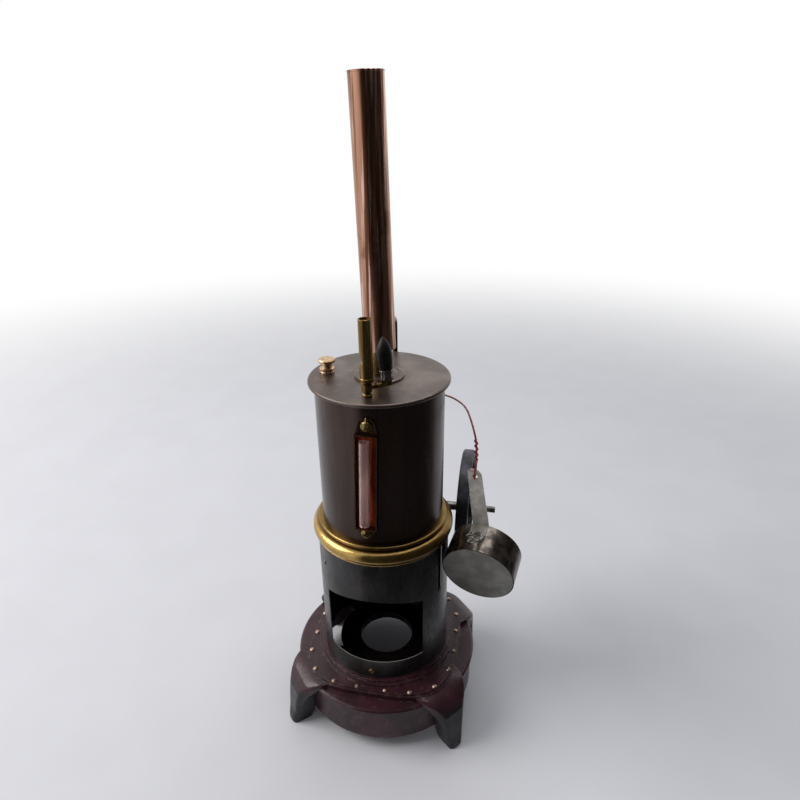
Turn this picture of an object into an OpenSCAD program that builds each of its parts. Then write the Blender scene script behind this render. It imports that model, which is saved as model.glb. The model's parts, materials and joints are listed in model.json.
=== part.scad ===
// Toy vertical steam engine: a round boiler over a sheet firebox on a cast base with four feet,
// a tall copper chimney, a flywheel at the right side and a spirit burner that hangs from a wire.
// The front is -Y, the origin lies on the table under the boiler's axis, and +Z is up.

/* [Boiler] */
// Radius of the boiler shell
boiler_r = 40; // [39:0.5:41]
// Sheet thickness of the boiler and the firebox
sheet_t = 1; // [0.8:0.1:1.2]
// Height of the top plate's upper face over the table
plate_z = 250; // [245:1:255]
// Overhang of the top plate past the boiler
plate_overhang = 3.6; // [3:0.1:4.5]
// Depth of the top plate's turned-down rim
plate_rim_h = 2.6; // [2:0.2:4]
// Thickness of the top plate
plate_t = 1.2; // [1:0.1:1.6]
// Height of the boiler's bottom over the brass ring's lower edge
boiler_bottom_h = 5.8; // [4:0.2:8]

/* [Brass ring] */
// Height of the ring's lower edge over the table
ring_z = 141.2; // [139:0.2:143]
// Height of the ring
ring_h = 12.6; // [11:0.2:14]
// Overhang of the ring's beads past the firebox
ring_lip = 2; // [1.6:0.1:2.4]
// Radius of the ring's lower bead
ring_bead_r = 2.1; // [1.8:0.1:2.3]

/* [Firebox] */
// Distance by which the firebox is wider than the boiler, on the radius
firebox_step = 4.2; // [3.8:0.1:4.8]
// Height of the stoke opening's sill over the table
stoke_z = 59; // [56:1:62]
// Height of the stoke opening at its middle
stoke_h = 52.4; // [46:0.5:56]
// Rise of the stoke opening's curved head over its sides
stoke_rise = 6.2; // [5:0.2:7]
// Half of the angle that the stoke opening spans
stoke_half_angle = 46.5; // [40:0.5:50]
// Width of the slot at the right side of the firebox
slot_w = 4.6; // [3:0.2:6]
// Direction of the slot, counted from the front towards the right
slot_angle = 69; // [60:1:80]
// Height of the slot's pointed lower end over the table
slot_z = 101.5; // [98:0.5:108]

/* [Base] */
// Height of the raised deck's upper face over the table
deck_z = 42; // [40:0.5:44]
// Distance from the firebox to the deck's edge, at the middle of a side
deck_margin = 9.8; // [9:0.2:11]
// Height of the deck over the round flange
deck_rise = 5; // [4:0.2:6]
// Squareness of the deck, from 2 for a circle upwards
deck_square = 3.5; // [2.5:0.1:4.5]
// Distance from the firebox to the flange's edge
flange_margin = 20.6; // [20:0.2:22]
// Thickness of the flange at its edge
flange_t = 3.4; // [2.6:0.2:4.5]
// Overhang of the flange past the skirt
flange_lip = 1.8; // [1:0.1:2.6]
// Height of the skirt's lower edge over the table
skirt_z = 10; // [7:0.5:12]
// Wall thickness of the base casting
casting_t = 5; // [4:0.5:6]
// Width of the first raised ring round the firebox's foot
inner_ring_w = 2.8; // [2:0.1:3.2]
// Height of that ring over the deck
inner_ring_h = 3; // [2:0.2:4]
// Width of the second raised ring
outer_ring_w = 2.4; // [2:0.1:3]
// Height of the second ring over the deck
outer_ring_h = 1.4; // [1:0.1:2]
// Radius of the hole in the hearth floor
hearth_hole_r = 19.2; // [16:0.2:22]
// Width of the air slots in the hearth floor
air_slot_w = 8.6; // [6:0.2:10]

/* [Feet] */
// Distance of a foot's sole past the flange's edge
foot_reach = 12.8; // [11:0.2:15]
// Width of a foot at its sole
foot_w = 13; // [10:0.5:14]
// Width of a foot at its knee
knee_w = 15.6; // [15:0.2:18]
// Length of the sole, from the toe inwards
sole_l = 8; // [6:0.5:10]

/* [Chimney] */
// Height of the chimney's top over the top plate
chimney_h = 163.6; // [150:0.5:175]
// Height of the chimney tube's lower end over the top plate
chimney_foot_h = 18; // [15:0.5:22]
// Outer radius of the chimney at its lower end
chimney_foot_r = 8.2; // [8.2:0.1:8.8]
// Outer radius of the chimney at its top
chimney_top_r = 9.5; // [8.8:0.1:10.5]
// Wall of the chimney tube
chimney_t = 0.8; // [0.6:0.1:0.9]
// Lean of the chimney towards the left, in degrees
chimney_lean = 1.4; // [0:0.1:1.6]
// Radius of the flange under the chimney
chimney_flange_r = 15.3; // [14:0.1:17]
// Wall of the flue and of the collar that carries the chimney
flue_t = 0.8; // [0.6:0.1:1]

/* [Fittings on the top plate] */
// Distance of the whistle from the boiler's edge, inwards
whistle_inset = 8.5; // [8:0.5:10]
// Radius of the whistle tube
whistle_r = 3.4; // [3:0.1:3.8]
// Height of the whistle's top over the top plate
whistle_h = 45; // [40:0.5:50]
// Wall of the whistle tube
whistle_t = 0.7; // [0.5:0.1:0.9]
// Distance of the whistle cock's handle from the whistle
arm_l = 12.5; // [12:0.1:14]
// Direction of the cock, counted from the right towards the back
arm_angle = 37; // [20:1:60]
// Distance of the filler cap from the boiler's edge, inwards
filler_inset = 7; // [6:0.5:9]
// Radius of the filler cap's disc
filler_r = 5.3; // [4.5:0.1:6]
// Height of the cock's handle over its ferrule's foot
handle_h = 25; // [22:0.5:28]
// Largest radius of the cock's handle
handle_r = 4.4; // [3.8:0.1:4.8]

/* [Water gauge] */
// Gap between the brass ring and the gauge's lower screw
gauge_low_gap = 1.7; // [1:0.1:3]
// Gap between the top plate's rim and the gauge's upper screw
gauge_top_gap = 4.9; // [3:0.1:6]
// Radius of the gauge's screws
screw_r = 4.2; // [3.6:0.1:4.4]
// Width of the gauge channel
gauge_w = 15; // [14:0.5:16]
// Depth of the gauge channel
gauge_d = 3.2; // [2.8:0.1:4]
// Thickness of the channel's sheet
channel_t = 0.8; // [0.6:0.1:1]
// Radius of the gauge glass
glass_r = 3.2; // [2.6:0.1:3.4]
// Lean of the gauge on the boiler, in degrees
gauge_lean = 1.9; // [0:0.1:2.5]

/* [Flywheel and crankshaft] */
// Radius of the crankshaft
shaft_r = 2.5; // [2.2:0.1:2.8]
// Amount by which the shaft's free end is thinner, on the radius
shaft_shoulder = 0.2; // [0.1:0.05:0.4]
// Length of the shaft's free end past the flywheel's hub
shaft_end_l = 16.2; // [12:0.2:20]
// Radius of the flywheel
wheel_r = 44; // [42:0.5:45]
// Width of the flywheel's rim
wheel_w = 8.3; // [7:0.1:9]
// Thickness of the flywheel's rim
rim_t = 7; // [5:0.2:8]
// Gap between the brass ring and the flywheel
wheel_gap = 1.1; // [0.8:0.1:2]
// Number of spokes of the flywheel
spokes = 6; // [4:1:8]
// Radius of the flywheel's hub
hub_r = 8; // [6:0.2:9]
// Radius of the crank
crank_r = 8; // [6:0.5:9]
// Gap between the firebox and the crank disc
crank_gap = 0.4; // [0.3:0.1:2]

/* [Engine] */
// Radius of the cylinder
cylinder_r = 7.5; // [6:0.5:8]
// Length of the cylinder
cylinder_l = 38; // [32:0.5:42]
// Distance from the top plate down to the port block's top
block_drop = 43; // [40:0.5:46]
// Height of the port block
block_h = 22; // [18:0.5:24]
// Thickness of the port block
block_t = 4.5; // [4:0.1:6]
// Thickness of the engine plate
engine_plate_t = 4; // [3:0.2:5]
// Radius of the steam and exhaust pipes
pipe_r = 1.8; // [1.4:0.1:2]

/* [Burner] */
// Radius of the burner tin
burner_r = 23.8; // [22:0.1:24.4]
// Depth of the burner tin
burner_h = 21.4; // [18:0.2:22]
// Sheet thickness of the burner tin and its handle
burner_t = 0.8; // [0.6:0.1:1]
// Radius of the burner's wick tube
wick_r = 6; // [5:0.2:7]
// Length of the burner's handle from the hole to the tin
burner_handle_l = 43; // [38:0.5:46]
// Width of the burner's handle
burner_handle_w = 10.4; // [9:0.2:12]
// Radius of the hole in the burner's handle
handle_hole_r = 1.6; // [1.4:0.1:2]

/* [Hidden] */
$fn = 96;
// A cut that runs past the face that it opens
cut = 0.5;
// Gap between pieces that turn on each other
run_gap = 0.05;
// Gap between pieces that pass each other
side_gap = 0.5;

// Radii that step out from the boiler
boiler_in_r = boiler_r - sheet_t;
plate_r = boiler_r + plate_overhang;
firebox_r = boiler_r + firebox_step;
firebox_in_r = firebox_r - sheet_t;
ring_r = firebox_r + ring_lip;
ring_seat_h = 2;
deck_half = firebox_r + deck_margin;
flange_r = firebox_r + flange_margin;
skirt_r = flange_r - flange_lip;
inner_ring_r = firebox_r + inner_ring_w;
outer_ring_r = inner_ring_r + outer_ring_w;

// Heights
flange_z = deck_z - deck_rise;
lip_z = flange_z - flange_t;
edge_round = 1.2;
plate_under_z = plate_z - plate_t;
boiler_bottom_z = ring_z + boiler_bottom_h;
ring_top_z = ring_z + ring_h;
chimney_foot_z = plate_z + chimney_foot_h;
chimney_l = (chimney_h - chimney_foot_h) / cos(chimney_lean);

// The flue fits inside the chimney's foot with room for the chimney's lean
flue_r = chimney_foot_r - chimney_t - 0.25;
flue_stand_h = 2;
collar_lap = 6;

// Air slots in the hearth floor
air_slot_r = firebox_in_r - 0.6;
air_slot_half_angle = 33;

// Feet
foot_angles = [-45, 45, 135, 225];
toe_r = flange_r + foot_reach;
knee_r = flange_r + 0.7 * foot_reach;
toe_h = 3;

// Filler
seat_h = 4.4;

// Whistle and its cock
whistle_stem_h = 9;
mouth_low_h = 20;
mouth_top_h = 24.6;
mouth_d = 2;
mouth_angle = 200;
arm_r = 1.6;
arm_z = 5.2;
ferrule_z = 1.8;
ferrule_h = 6.2;
ferrule_r = handle_r + 0.5;
ferrule_floor = 1.2;
handle_seat_r = handle_r - 0.4;

// Water gauge
screw_gap = 0.1;
gauge_low_z = ring_top_z + gauge_low_gap;
gauge_top_z = plate_z - plate_rim_h - gauge_top_gap;
gauge_l = gauge_top_z - gauge_low_z - 4 * screw_r - 2 * screw_gap;
gauge_z = (gauge_top_z + gauge_low_z) / 2;

// Crankshaft at the back, with the flywheel beside the ring
crank_t = 3.5;
crank_disc_r = crank_r + 3.4;
crank_pin_r = 1.5;
plate_half_t = engine_plate_t / 2;
shaft_y = firebox_r + crank_gap + crank_disc_r;
shaft_z = ring_z - crank_disc_r - 7.8;
bearing_r = shaft_r + 0.7;
bearing_x = -plate_half_t - 2;
wheel_x = ring_r + wheel_gap;
hub_l = wheel_w + 2;
hub_x = wheel_x + hub_l;
bracket_x = 30;
bracket_t = 3;

// Cylinder that hangs from the port block
cylinder_x = -plate_half_t - block_t - cylinder_r;
block_top_z = plate_z - block_drop;
pivot_z = block_top_z - 18;
rod_r = 1.5;
rod_eye_r = 4;
rod_eye_t = 3;
exhaust_y = boiler_r + 9;
exhaust_top_z = plate_z + 29;
steam_z = plate_z - 14;
pipe_bend = 5;

// Burner, as it hangs
burner_hang = [firebox_r + burner_r - 6.7, -14.8, 193.2];
burner_off_x = 2;
handle_lap = 4;

// Route of the wire from the burner's handle up and round to the exhaust pipe
wire_r = 0.9;
wire_hook = [[-0.1, -3.4, -1], [0, 0, 0.4], [0.1, 2.6, 3.8], [0.1, 4.2, 9.8]];
wire_run = [[60.6, -6, 212], [58.6, -1, 217.5], [55.6, 8, 221], [52.2, 19, 222], [47, 31, 221],
            [38, 42, 220], [25, 48.5, 219], [12, 50.5, 218]];
wire_end = [[4, 3, 218], [0, 2.7, 218]];
wire_route = concat([for (p = wire_hook) burner_hang + p], wire_run,
                    [for (p = wire_end) [p[0], exhaust_y + p[1], p[2]]]);

// The deck's outline: a square with bowed sides and broad round corners
function bowed_square(half, n = deck_square, steps = 72) = [for (i = [0:steps - 1])
    let (a = 360 * i / steps, c = cos(a), s = sin(a))
    [half * sign(c) * pow(abs(c), 2 / n), half * sign(s) * pow(abs(s), 2 / n)]];

module turn_to(angle) {
    rotate([0, 0, angle]) children();
}

// A tube that stands on its lower end
module tube(outer, inner, h) {
    difference() {
        cylinder(r = outer, h = h);
        translate([0, 0, -cut]) cylinder(r = inner, h = h + 2 * cut);
    }
}

module base_casting() {
    pocket_r = deck_half - casting_t;
    color("#5a2f34") difference() {
        union() {
            rotate_extrude() polygon([[0, skirt_z], [skirt_r, skirt_z], [skirt_r, lip_z],
                                      [flange_r - edge_round, lip_z], [flange_r, lip_z + edge_round],
                                      [flange_r, flange_z - edge_round], [flange_r - edge_round, flange_z],
                                      [0, flange_z]]);
            translate([0, 0, flange_z - cut]) linear_extrude(deck_rise + cut - edge_round)
                polygon(bowed_square(deck_half));
            translate([0, 0, deck_z - edge_round]) linear_extrude(edge_round)
                polygon(bowed_square(deck_half - edge_round));
            translate([0, 0, deck_z - cut]) cylinder(r = inner_ring_r, h = inner_ring_h + cut);
            translate([0, 0, deck_z - cut]) cylinder(r = outer_ring_r, h = outer_ring_h + cut);
        }
        translate([0, 0, skirt_z - cut])
            cylinder(r = skirt_r - casting_t, h = flange_z - casting_t - skirt_z + cut);
        translate([0, 0, skirt_z - cut])
            cylinder(r = pocket_r, h = deck_z - casting_t - skirt_z + cut);
        translate([0, 0, skirt_z]) cylinder(r = hearth_hole_r, h = deck_z);
        translate([0, 0, deck_z]) cylinder(r = firebox_r, h = inner_ring_h + cut);
        air_slots();
    }
}

module air_slots() {
    reach = 2 * air_slot_r;
    for (a = [0, 90, 180, 270]) turn_to(a)
        translate([0, 0, deck_z - casting_t - cut]) linear_extrude(casting_t + 2 * cut)
            intersection() {
                difference() {
                    circle(r = air_slot_r);
                    circle(r = air_slot_r - air_slot_w);
                }
                polygon([[0, 0], [reach * cos(air_slot_half_angle), -reach * sin(air_slot_half_angle)],
                         [reach * cos(air_slot_half_angle), reach * sin(air_slot_half_angle)]]);
            }
}

// A block foot: seen from the side it drops from a knee at the flange to the toe, and it narrows downwards
module foot(angle) {
    heel_r = toe_r - sole_l;
    color("#2b2628") turn_to(angle) difference() {
        intersection() {
            rotate([90, 0, 0]) translate([0, 0, -knee_w]) linear_extrude(2 * knee_w)
                polygon([[0, skirt_z], [skirt_r, skirt_z - 1], [heel_r - 3, 3], [heel_r, 0], [toe_r - 1, 0],
                         [toe_r, 1], [toe_r, toe_h], [toe_r - 1.4, toe_h + 5], [knee_r + 0.6, flange_z - 6],
                         [knee_r, flange_z - 2], [knee_r - 2.5, flange_z], [0, flange_z]]);
            rotate([90, 0, 90]) linear_extrude(toe_r)
                polygon([[-foot_w / 2, 0], [foot_w / 2, 0], [foot_w / 2 + 0.6, toe_h],
                         [knee_w / 2, flange_z - 8], [knee_w / 2, flange_z - 3], [knee_w / 2 - 3, flange_z],
                         [3 - knee_w / 2, flange_z], [-knee_w / 2, flange_z - 3],
                         [-knee_w / 2, flange_z - 8], [-foot_w / 2 - 0.6, toe_h]]);
        }
        translate([0, 0, -cut]) cylinder(r = skirt_r, h = lip_z + cut);
        translate([0, 0, lip_z - cut]) cylinder(r = flange_r, h = flange_z);
    }
}

module foot_front_right() foot(foot_angles[0]);
module foot_rear_right() foot(foot_angles[1]);
module foot_rear_left() foot(foot_angles[2]);
module foot_front_left() foot(foot_angles[3]);

module firebox_shell() {
    top_z = ring_z + ring_seat_h;
    color("#6d6a6b") difference() {
        translate([0, 0, deck_z]) tube(firebox_r, firebox_in_r, top_z - deck_z);
        stoke_cut();
        turn_to(slot_angle - 90) rotate([90, 0, 90]) translate([0, 0, boiler_r]) linear_extrude(boiler_r)
            polygon([[-slot_w / 2, top_z + cut], [slot_w / 2, top_z + cut],
                     [slot_w / 2, slot_z + slot_w / 2], [0, slot_z], [-slot_w / 2, slot_z + slot_w / 2]]);
    }
}

module stoke_cut() {
    half_w = firebox_r * sin(stoke_half_angle);
    arch_r = (half_w * half_w + stoke_rise * stoke_rise) / (2 * stoke_rise);
    intersection() {
        translate([-half_w, -2 * firebox_r, stoke_z]) cube([2 * half_w, 2 * firebox_r, stoke_h]);
        translate([0, 0, stoke_z + stoke_h - arch_r]) rotate([90, 0, 0])
            cylinder(r = arch_r, h = 2 * firebox_r);
    }
}

module boiler_bottom() {
    color("#4a3a32") translate([0, 0, boiler_bottom_z]) tube(boiler_in_r, flue_r, 1.5);
}

module boiler_shell() {
    color("#4b3d39") translate([0, 0, boiler_bottom_z])
        tube(boiler_r, boiler_in_r, plate_under_z - boiler_bottom_z);
}

// A turned ring with a round bead below, a broad swell in the middle and a small bead on top
module brass_ring() {
    swell_r = ring_h / 2 - 2.6;
    top_bead_r = ring_bead_r - 0.4;
    color("#a98a4a") translate([0, 0, ring_z]) rotate_extrude() difference() {
        union() {
            translate([boiler_r, 0]) square([ring_r - boiler_r - ring_bead_r, ring_h]);
            translate([ring_r - ring_bead_r, ring_bead_r]) circle(r = ring_bead_r);
            translate([ring_r - swell_r - 0.3, ring_h / 2 + 0.3]) circle(r = swell_r);
            translate([ring_r - ring_bead_r - 2.2, ring_h - top_bead_r]) circle(r = top_bead_r);
        }
        translate([0, -cut]) square([firebox_r, ring_seat_h + cut]);
        translate([0, -cut]) square([boiler_r, ring_h + 2 * cut]);
    }
}

module top_plate() {
    rim_r = plate_rim_h / 2;
    color("#6f6360") translate([0, 0, plate_z - plate_rim_h]) rotate_extrude() difference() {
        union() {
            square([plate_r - rim_r, plate_rim_h]);
            translate([plate_r - rim_r, rim_r]) circle(r = rim_r);
        }
        translate([-cut, -cut]) square([boiler_r + cut, plate_rim_h - plate_t + cut]);
        translate([-cut, -cut]) square([flue_r + cut, plate_rim_h + 2 * cut]);
    }
}

module flue_tube() {
    color("#7a5a48") translate([0, 0, boiler_bottom_z])
        tube(flue_r, flue_r - flue_t, plate_z + flue_stand_h - boiler_bottom_z);
}

module chimney_flange() {
    color("#8f8a84") translate([0, 0, plate_z]) rotate_extrude()
        polygon([[flue_r, 0], [chimney_flange_r, 0], [chimney_flange_r, 0.9], [chimney_flange_r - 1.2, 1.3],
                 [chimney_flange_r - 4, 1.4], [flue_r + 1.6, 2.3], [flue_r, 2.4]]);
}

module chimney_collar() {
    color("#7d6a35") translate([0, 0, plate_z + flue_stand_h])
        tube(flue_r, flue_r - flue_t, chimney_foot_h + collar_lap - flue_stand_h);
}

module chimney_bore(foot_r, top_r) {
    translate([0, 0, chimney_foot_z]) rotate([0, -chimney_lean, 0]) translate([0, 0, -cut])
        cylinder(r1 = foot_r, r2 = top_r, h = chimney_l + 2 * cut);
}

module chimney_tube() {
    color("#b0735a") difference() {
        translate([0, 0, chimney_foot_z]) rotate([0, -chimney_lean, 0])
            cylinder(r1 = chimney_foot_r, r2 = chimney_top_r, h = chimney_l);
        chimney_bore(chimney_foot_r - chimney_t, chimney_top_r - chimney_t);
    }
}

module at_filler() {
    translate([filler_inset - boiler_r, 0, plate_z]) children();
}

module filler_seat() {
    color("#a5854a") at_filler() rotate_extrude()
        polygon([[2, 0], [4.6, 0], [4.6, 0.8], [4.3, 1.4], [4.6, 2], [4.6, 2.8], [3.4, 3.4],
                 [3.2, seat_h], [2, seat_h]]);
}

module filler_cap() {
    color("#c9ac62") at_filler() translate([0, 0, seat_h]) rotate_extrude()
        polygon([[0, 0], [3.2, 0], [3.2, 1.2], [filler_r - 0.4, 2.2], [filler_r, 2.6], [filler_r, 3.8],
                 [filler_r - 0.5, 4.3], [0, 4.3]]);
}

module at_whistle() {
    translate([0, whistle_inset - boiler_r, plate_z]) children();
}

module whistle_stem() {
    color("#8a6d35") at_whistle() difference() {
        rotate_extrude() polygon([[0, 0], [2.9, 0], [2.9, 1.2], [2.1, 1.8], [2.1, 2.4], [3, 3], [3, 7.4],
                                  [2.2, 8], [2.2, whistle_stem_h], [0, whistle_stem_h]]);
        turn_to(arm_angle) translate([0, 0, arm_z]) rotate([0, 90, 0])
            cylinder(r = arm_r + run_gap, h = 8);
    }
}

// The tube stands on a small foot ring and has the notch of its mouth at the left, slanted above
module whistle_tube() {
    notch_r = whistle_r - mouth_d;
    color("#a08045") at_whistle() difference() {
        rotate_extrude() polygon([[0, whistle_stem_h], [whistle_r + 0.3, whistle_stem_h],
                                  [whistle_r + 0.3, whistle_stem_h + 2], [whistle_r, whistle_stem_h + 2.3],
                                  [whistle_r, whistle_h], [whistle_r - whistle_t, whistle_h],
                                  [whistle_r - whistle_t, whistle_stem_h + 2], [0, whistle_stem_h + 2]]);
        turn_to(mouth_angle) rotate([90, 0, 0]) translate([0, 0, -whistle_r]) linear_extrude(2 * whistle_r)
            polygon([[notch_r, mouth_low_h], [2 * whistle_r, mouth_low_h], [2 * whistle_r, mouth_top_h],
                     [whistle_r, mouth_top_h], [notch_r, mouth_low_h + 1.4]]);
    }
}

module at_valve() {
    at_whistle() translate([0, 0, arm_z]) turn_to(arm_angle) children();
}

module whistle_arm() {
    color("#5f4a2c") at_valve() {
        translate([0.4, 0, 0]) rotate([0, 90, 0]) cylinder(r = arm_r, h = arm_l + 2.2);
        translate([arm_l, 0, 0]) cylinder(r = arm_r, h = ferrule_z);
    }
}

module valve_ferrule() {
    color("#9a9590") at_valve() translate([arm_l, 0, ferrule_z]) rotate_extrude()
        polygon([[0, 0], [ferrule_r - 1, 0], [ferrule_r, ferrule_floor], [ferrule_r - 0.5, 3],
                 [ferrule_r - 0.1, ferrule_h], [handle_seat_r, ferrule_h],
                 [handle_seat_r, ferrule_floor], [0, ferrule_floor]]);
}

module valve_handle() {
    shoulder = ferrule_h + 2;
    bullet = handle_h - shoulder;
    color("#231a1a") at_valve() translate([arm_l, 0, ferrule_z]) rotate_extrude()
        polygon(concat([[0, ferrule_floor], [handle_seat_r, ferrule_floor], [handle_seat_r, ferrule_h],
                        [handle_r - 0.1, ferrule_h]],
                       [for (i = [0:9]) let (t = i / 10)
                        [handle_r * (1 - pow(t, 2.4)) + 0.12 * sin(180 * t), shoulder + bullet * t]],
                       [[0, handle_h]]));
}

module on_gauge() {
    translate([0, -boiler_r, gauge_z]) rotate([0, gauge_lean, 0]) children();
}

module gauge_channel() {
    floor_t = 0.3;
    color("#7a4a38") difference() {
        on_gauge() difference() {
            translate([-gauge_w / 2, -gauge_d, -gauge_l / 2]) cube([gauge_w, 2 * gauge_d, gauge_l]);
            translate([-gauge_w / 2 + channel_t, -gauge_d - cut, -gauge_l / 2 + channel_t])
                cube([gauge_w - 2 * channel_t, gauge_d - floor_t + cut, gauge_l - 2 * channel_t]);
        }
        cylinder(r = boiler_r, h = plate_z, $fn = 360);
    }
}

module gauge_glass() {
    glass_l = gauge_l - 12;
    color("#c9a493") on_gauge() translate([0, -glass_r - 0.4, -glass_l / 2])
        tube(glass_r, glass_r - 0.8, glass_l);
}

module gauge_fitting(z) {
    color("#9c7a3c") on_gauge() translate([0, 0, z]) rotate([90, 0, 0]) rotate_extrude()
        polygon([[0, 0], [screw_r, 0], [screw_r, 5], [screw_r - 0.8, 6.3], [screw_r - 1.8, 6.5],
                 [screw_r - 1.8, 7.4], [0, 7.6]]);
}

module gauge_top_fitting() gauge_fitting(gauge_l / 2 + screw_r + screw_gap);
module gauge_bottom_fitting() gauge_fitting(-gauge_l / 2 - screw_r - screw_gap);

module at_shaft(x) {
    translate([x, shaft_y, shaft_z]) rotate([0, 90, 0]) children();
}

// The plate stands edge-on to the boiler and carries the bearing below and the port block above
module engine_plate() {
    back_y = shaft_y + 1;
    boss_y = shaft_y + 6;
    root_y = boiler_r - 10;
    low_z = shaft_z - 14;
    color("#55504c") difference() {
        translate([-plate_half_t, 0, 0]) rotate([90, 0, 90]) linear_extrude(engine_plate_t)
            polygon([[root_y, low_z], [boss_y - 1, shaft_z - 10], [boss_y, shaft_z],
                     [boss_y - 1, shaft_z + 10], [back_y, shaft_z + 18],
                     [back_y, block_top_z - block_h - 10],
                     [boss_y, block_top_z - block_h - 3], [boss_y, block_top_z - 4],
                     [back_y + 1, block_top_z], [root_y, block_top_z]]);
        translate([0, 0, low_z - cut]) cylinder(r = boiler_r, h = block_top_z - low_z + 2 * cut);
        translate([0, 0, low_z - cut]) cylinder(r = firebox_r, h = ring_z + ring_seat_h - low_z + cut);
        translate([0, 0, ring_z - 0.6]) cylinder(r = ring_r + 0.4, h = ring_h + 1.2);
        at_shaft(-engine_plate_t) cylinder(r = bearing_r, h = 2 * engine_plate_t);
    }
}

module port_block() {
    width = 12;
    color("#a08045") translate([-plate_half_t - block_t, shaft_y - width / 2, block_top_z - block_h])
        cube([block_t, width, block_h]);
}

module at_cylinder() {
    translate([cylinder_x, shaft_y, pivot_z]) children();
}

module engine_cylinder() {
    half_l = cylinder_l / 2;
    cap_r = cylinder_r + 0.6;
    gland_h = 6;
    color("#b08f52") at_cylinder() rotate_extrude()
        polygon([[rod_r, -half_l - gland_h], [3, -half_l - gland_h], [3, -half_l - 2], [cap_r, -half_l - 2],
                 [cap_r, -half_l + 1], [cylinder_r, -half_l + 1], [cylinder_r, half_l - 1],
                 [cap_r, half_l - 1], [cap_r, half_l + 1], [cap_r - 1, half_l + 2], [0, half_l + 2],
                 [0, -half_l], [rod_r, -half_l]]);
}

module piston_rod() {
    eye_z = shaft_z + crank_r;
    rod_top = pivot_z - cylinder_l / 2;
    color("#8d8a88") difference() {
        union() {
            translate([cylinder_x, shaft_y, eye_z]) cylinder(r = rod_r, h = rod_top - eye_z);
            translate([cylinder_x - rod_eye_t / 2, shaft_y, eye_z]) rotate([0, 90, 0])
                cylinder(r = rod_eye_r, h = rod_eye_t);
        }
        translate([cylinder_x - rod_eye_t, shaft_y, eye_z]) rotate([0, 90, 0])
            cylinder(r = crank_pin_r + 0.1, h = 2 * rod_eye_t);
    }
}

module bearing_tube() {
    color("#8d7440") at_shaft(bearing_x) tube(bearing_r, shaft_r + run_gap, wheel_x - side_gap - bearing_x);
}

module shaft_bracket() {
    root_y = boiler_r - 15;
    color("#55504c") difference() {
        translate([bracket_x, 0, 0]) rotate([90, 0, 90]) linear_extrude(bracket_t) union() {
            polygon([[root_y, shaft_z - 9], [shaft_y, shaft_z - bearing_r - 1.4],
                     [shaft_y, shaft_z + bearing_r + 1.4], [root_y, shaft_z + 9]]);
            translate([shaft_y, shaft_z]) circle(r = bearing_r + 1.6);
        }
        translate([0, 0, deck_z]) cylinder(r = firebox_r, h = ring_z - deck_z);
        at_shaft(bracket_x - cut) cylinder(r = bearing_r, h = bracket_t + 2 * cut);
    }
}

// The shaft runs from the crank disc through the bearing and the hub, and ends in a thinner free end
module crankshaft() {
    x = bearing_x - side_gap - crank_t;
    end_r = shaft_r - shaft_shoulder;
    color("#4e4a4a") at_shaft(x) {
        cylinder(r = shaft_r, h = hub_x - x);
        translate([0, 0, hub_x - x]) cylinder(r = end_r, h = shaft_end_l);
    }
}

module crank_disc() {
    x = bearing_x - side_gap - crank_t;
    pin_l = x - cylinder_x - rod_eye_t / 2 - side_gap;
    color("#5b5654") at_shaft(x) difference() {
        union() {
            cylinder(r = crank_disc_r, h = crank_t);
            translate([-crank_r, 0, -pin_l]) cylinder(r = crank_pin_r, h = pin_l + 1);
        }
        translate([0, 0, -cut]) cylinder(r = shaft_r, h = crank_t + 2 * cut);
    }
}

// A cast wheel: a heavy rim with rounded edges, tapered spokes and a hub that stands proud on the outside
module flywheel() {
    spoke_t = 4;
    rim_in_r = wheel_r - rim_t;
    round = 1;
    color("#2b2830") at_shaft(wheel_x) difference() {
        union() {
            rotate_extrude() polygon([[rim_in_r, round], [rim_in_r + round, 0], [wheel_r - round, 0],
                                      [wheel_r, round], [wheel_r, wheel_w - round],
                                      [wheel_r - round, wheel_w], [rim_in_r + round, wheel_w],
                                      [rim_in_r, wheel_w - round]]);
            cylinder(r = hub_r, h = hub_l);
            for (i = [0:spokes - 1]) rotate([0, 0, 360 * i / spokes])
                translate([0, 0, (wheel_w - spoke_t) / 2]) linear_extrude(spoke_t)
                    polygon([[hub_r - 2, -3.4], [rim_in_r + 1.5, -2.4], [rim_in_r + 1.5, 2.4],
                             [hub_r - 2, 3.4]]);
        }
        translate([0, 0, -cut]) cylinder(r = shaft_r, h = hub_l + 2 * cut);
    }
}

// A round bar swept along a route of points, with rings of equal sides square to the route
function unit(v) = v / norm(v);
function route_dir(p, i) = let (n = len(p) - 1) unit(p[min(i + 1, n)] - p[max(i - 1, 0)]);
function side_dir(d) = unit(abs(d[2]) > 0.9 ? cross(d, [1, 0, 0]) : cross(d, [0, 0, 1]));
function carried(p, i) = i == 0 ? side_dir(route_dir(p, 0))
    : let (d = route_dir(p, i), u = carried(p, i - 1)) unit(u - (u * d) * d);

module swept_bar(p, r, sides = 8) {
    n = len(p);
    points = [for (i = [0:n - 1]) let (d = route_dir(p, i), u = carried(p, i), v = cross(d, u))
        for (k = [0:sides - 1]) p[i] + r * (cos(360 * k / sides) * u + sin(360 * k / sides) * v)];
    walls = [for (i = [0:n - 2], k = [0:sides - 1]) let (k2 = (k + 1) % sides)
        [i * sides + k, i * sides + k2, (i + 1) * sides + k2, (i + 1) * sides + k]];
    ends = [[for (k = [sides - 1:-1:0]) k], [for (k = [0:sides - 1]) (n - 1) * sides + k]];
    polyhedron(points, concat(walls, ends), convexity = 8);
}

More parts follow.
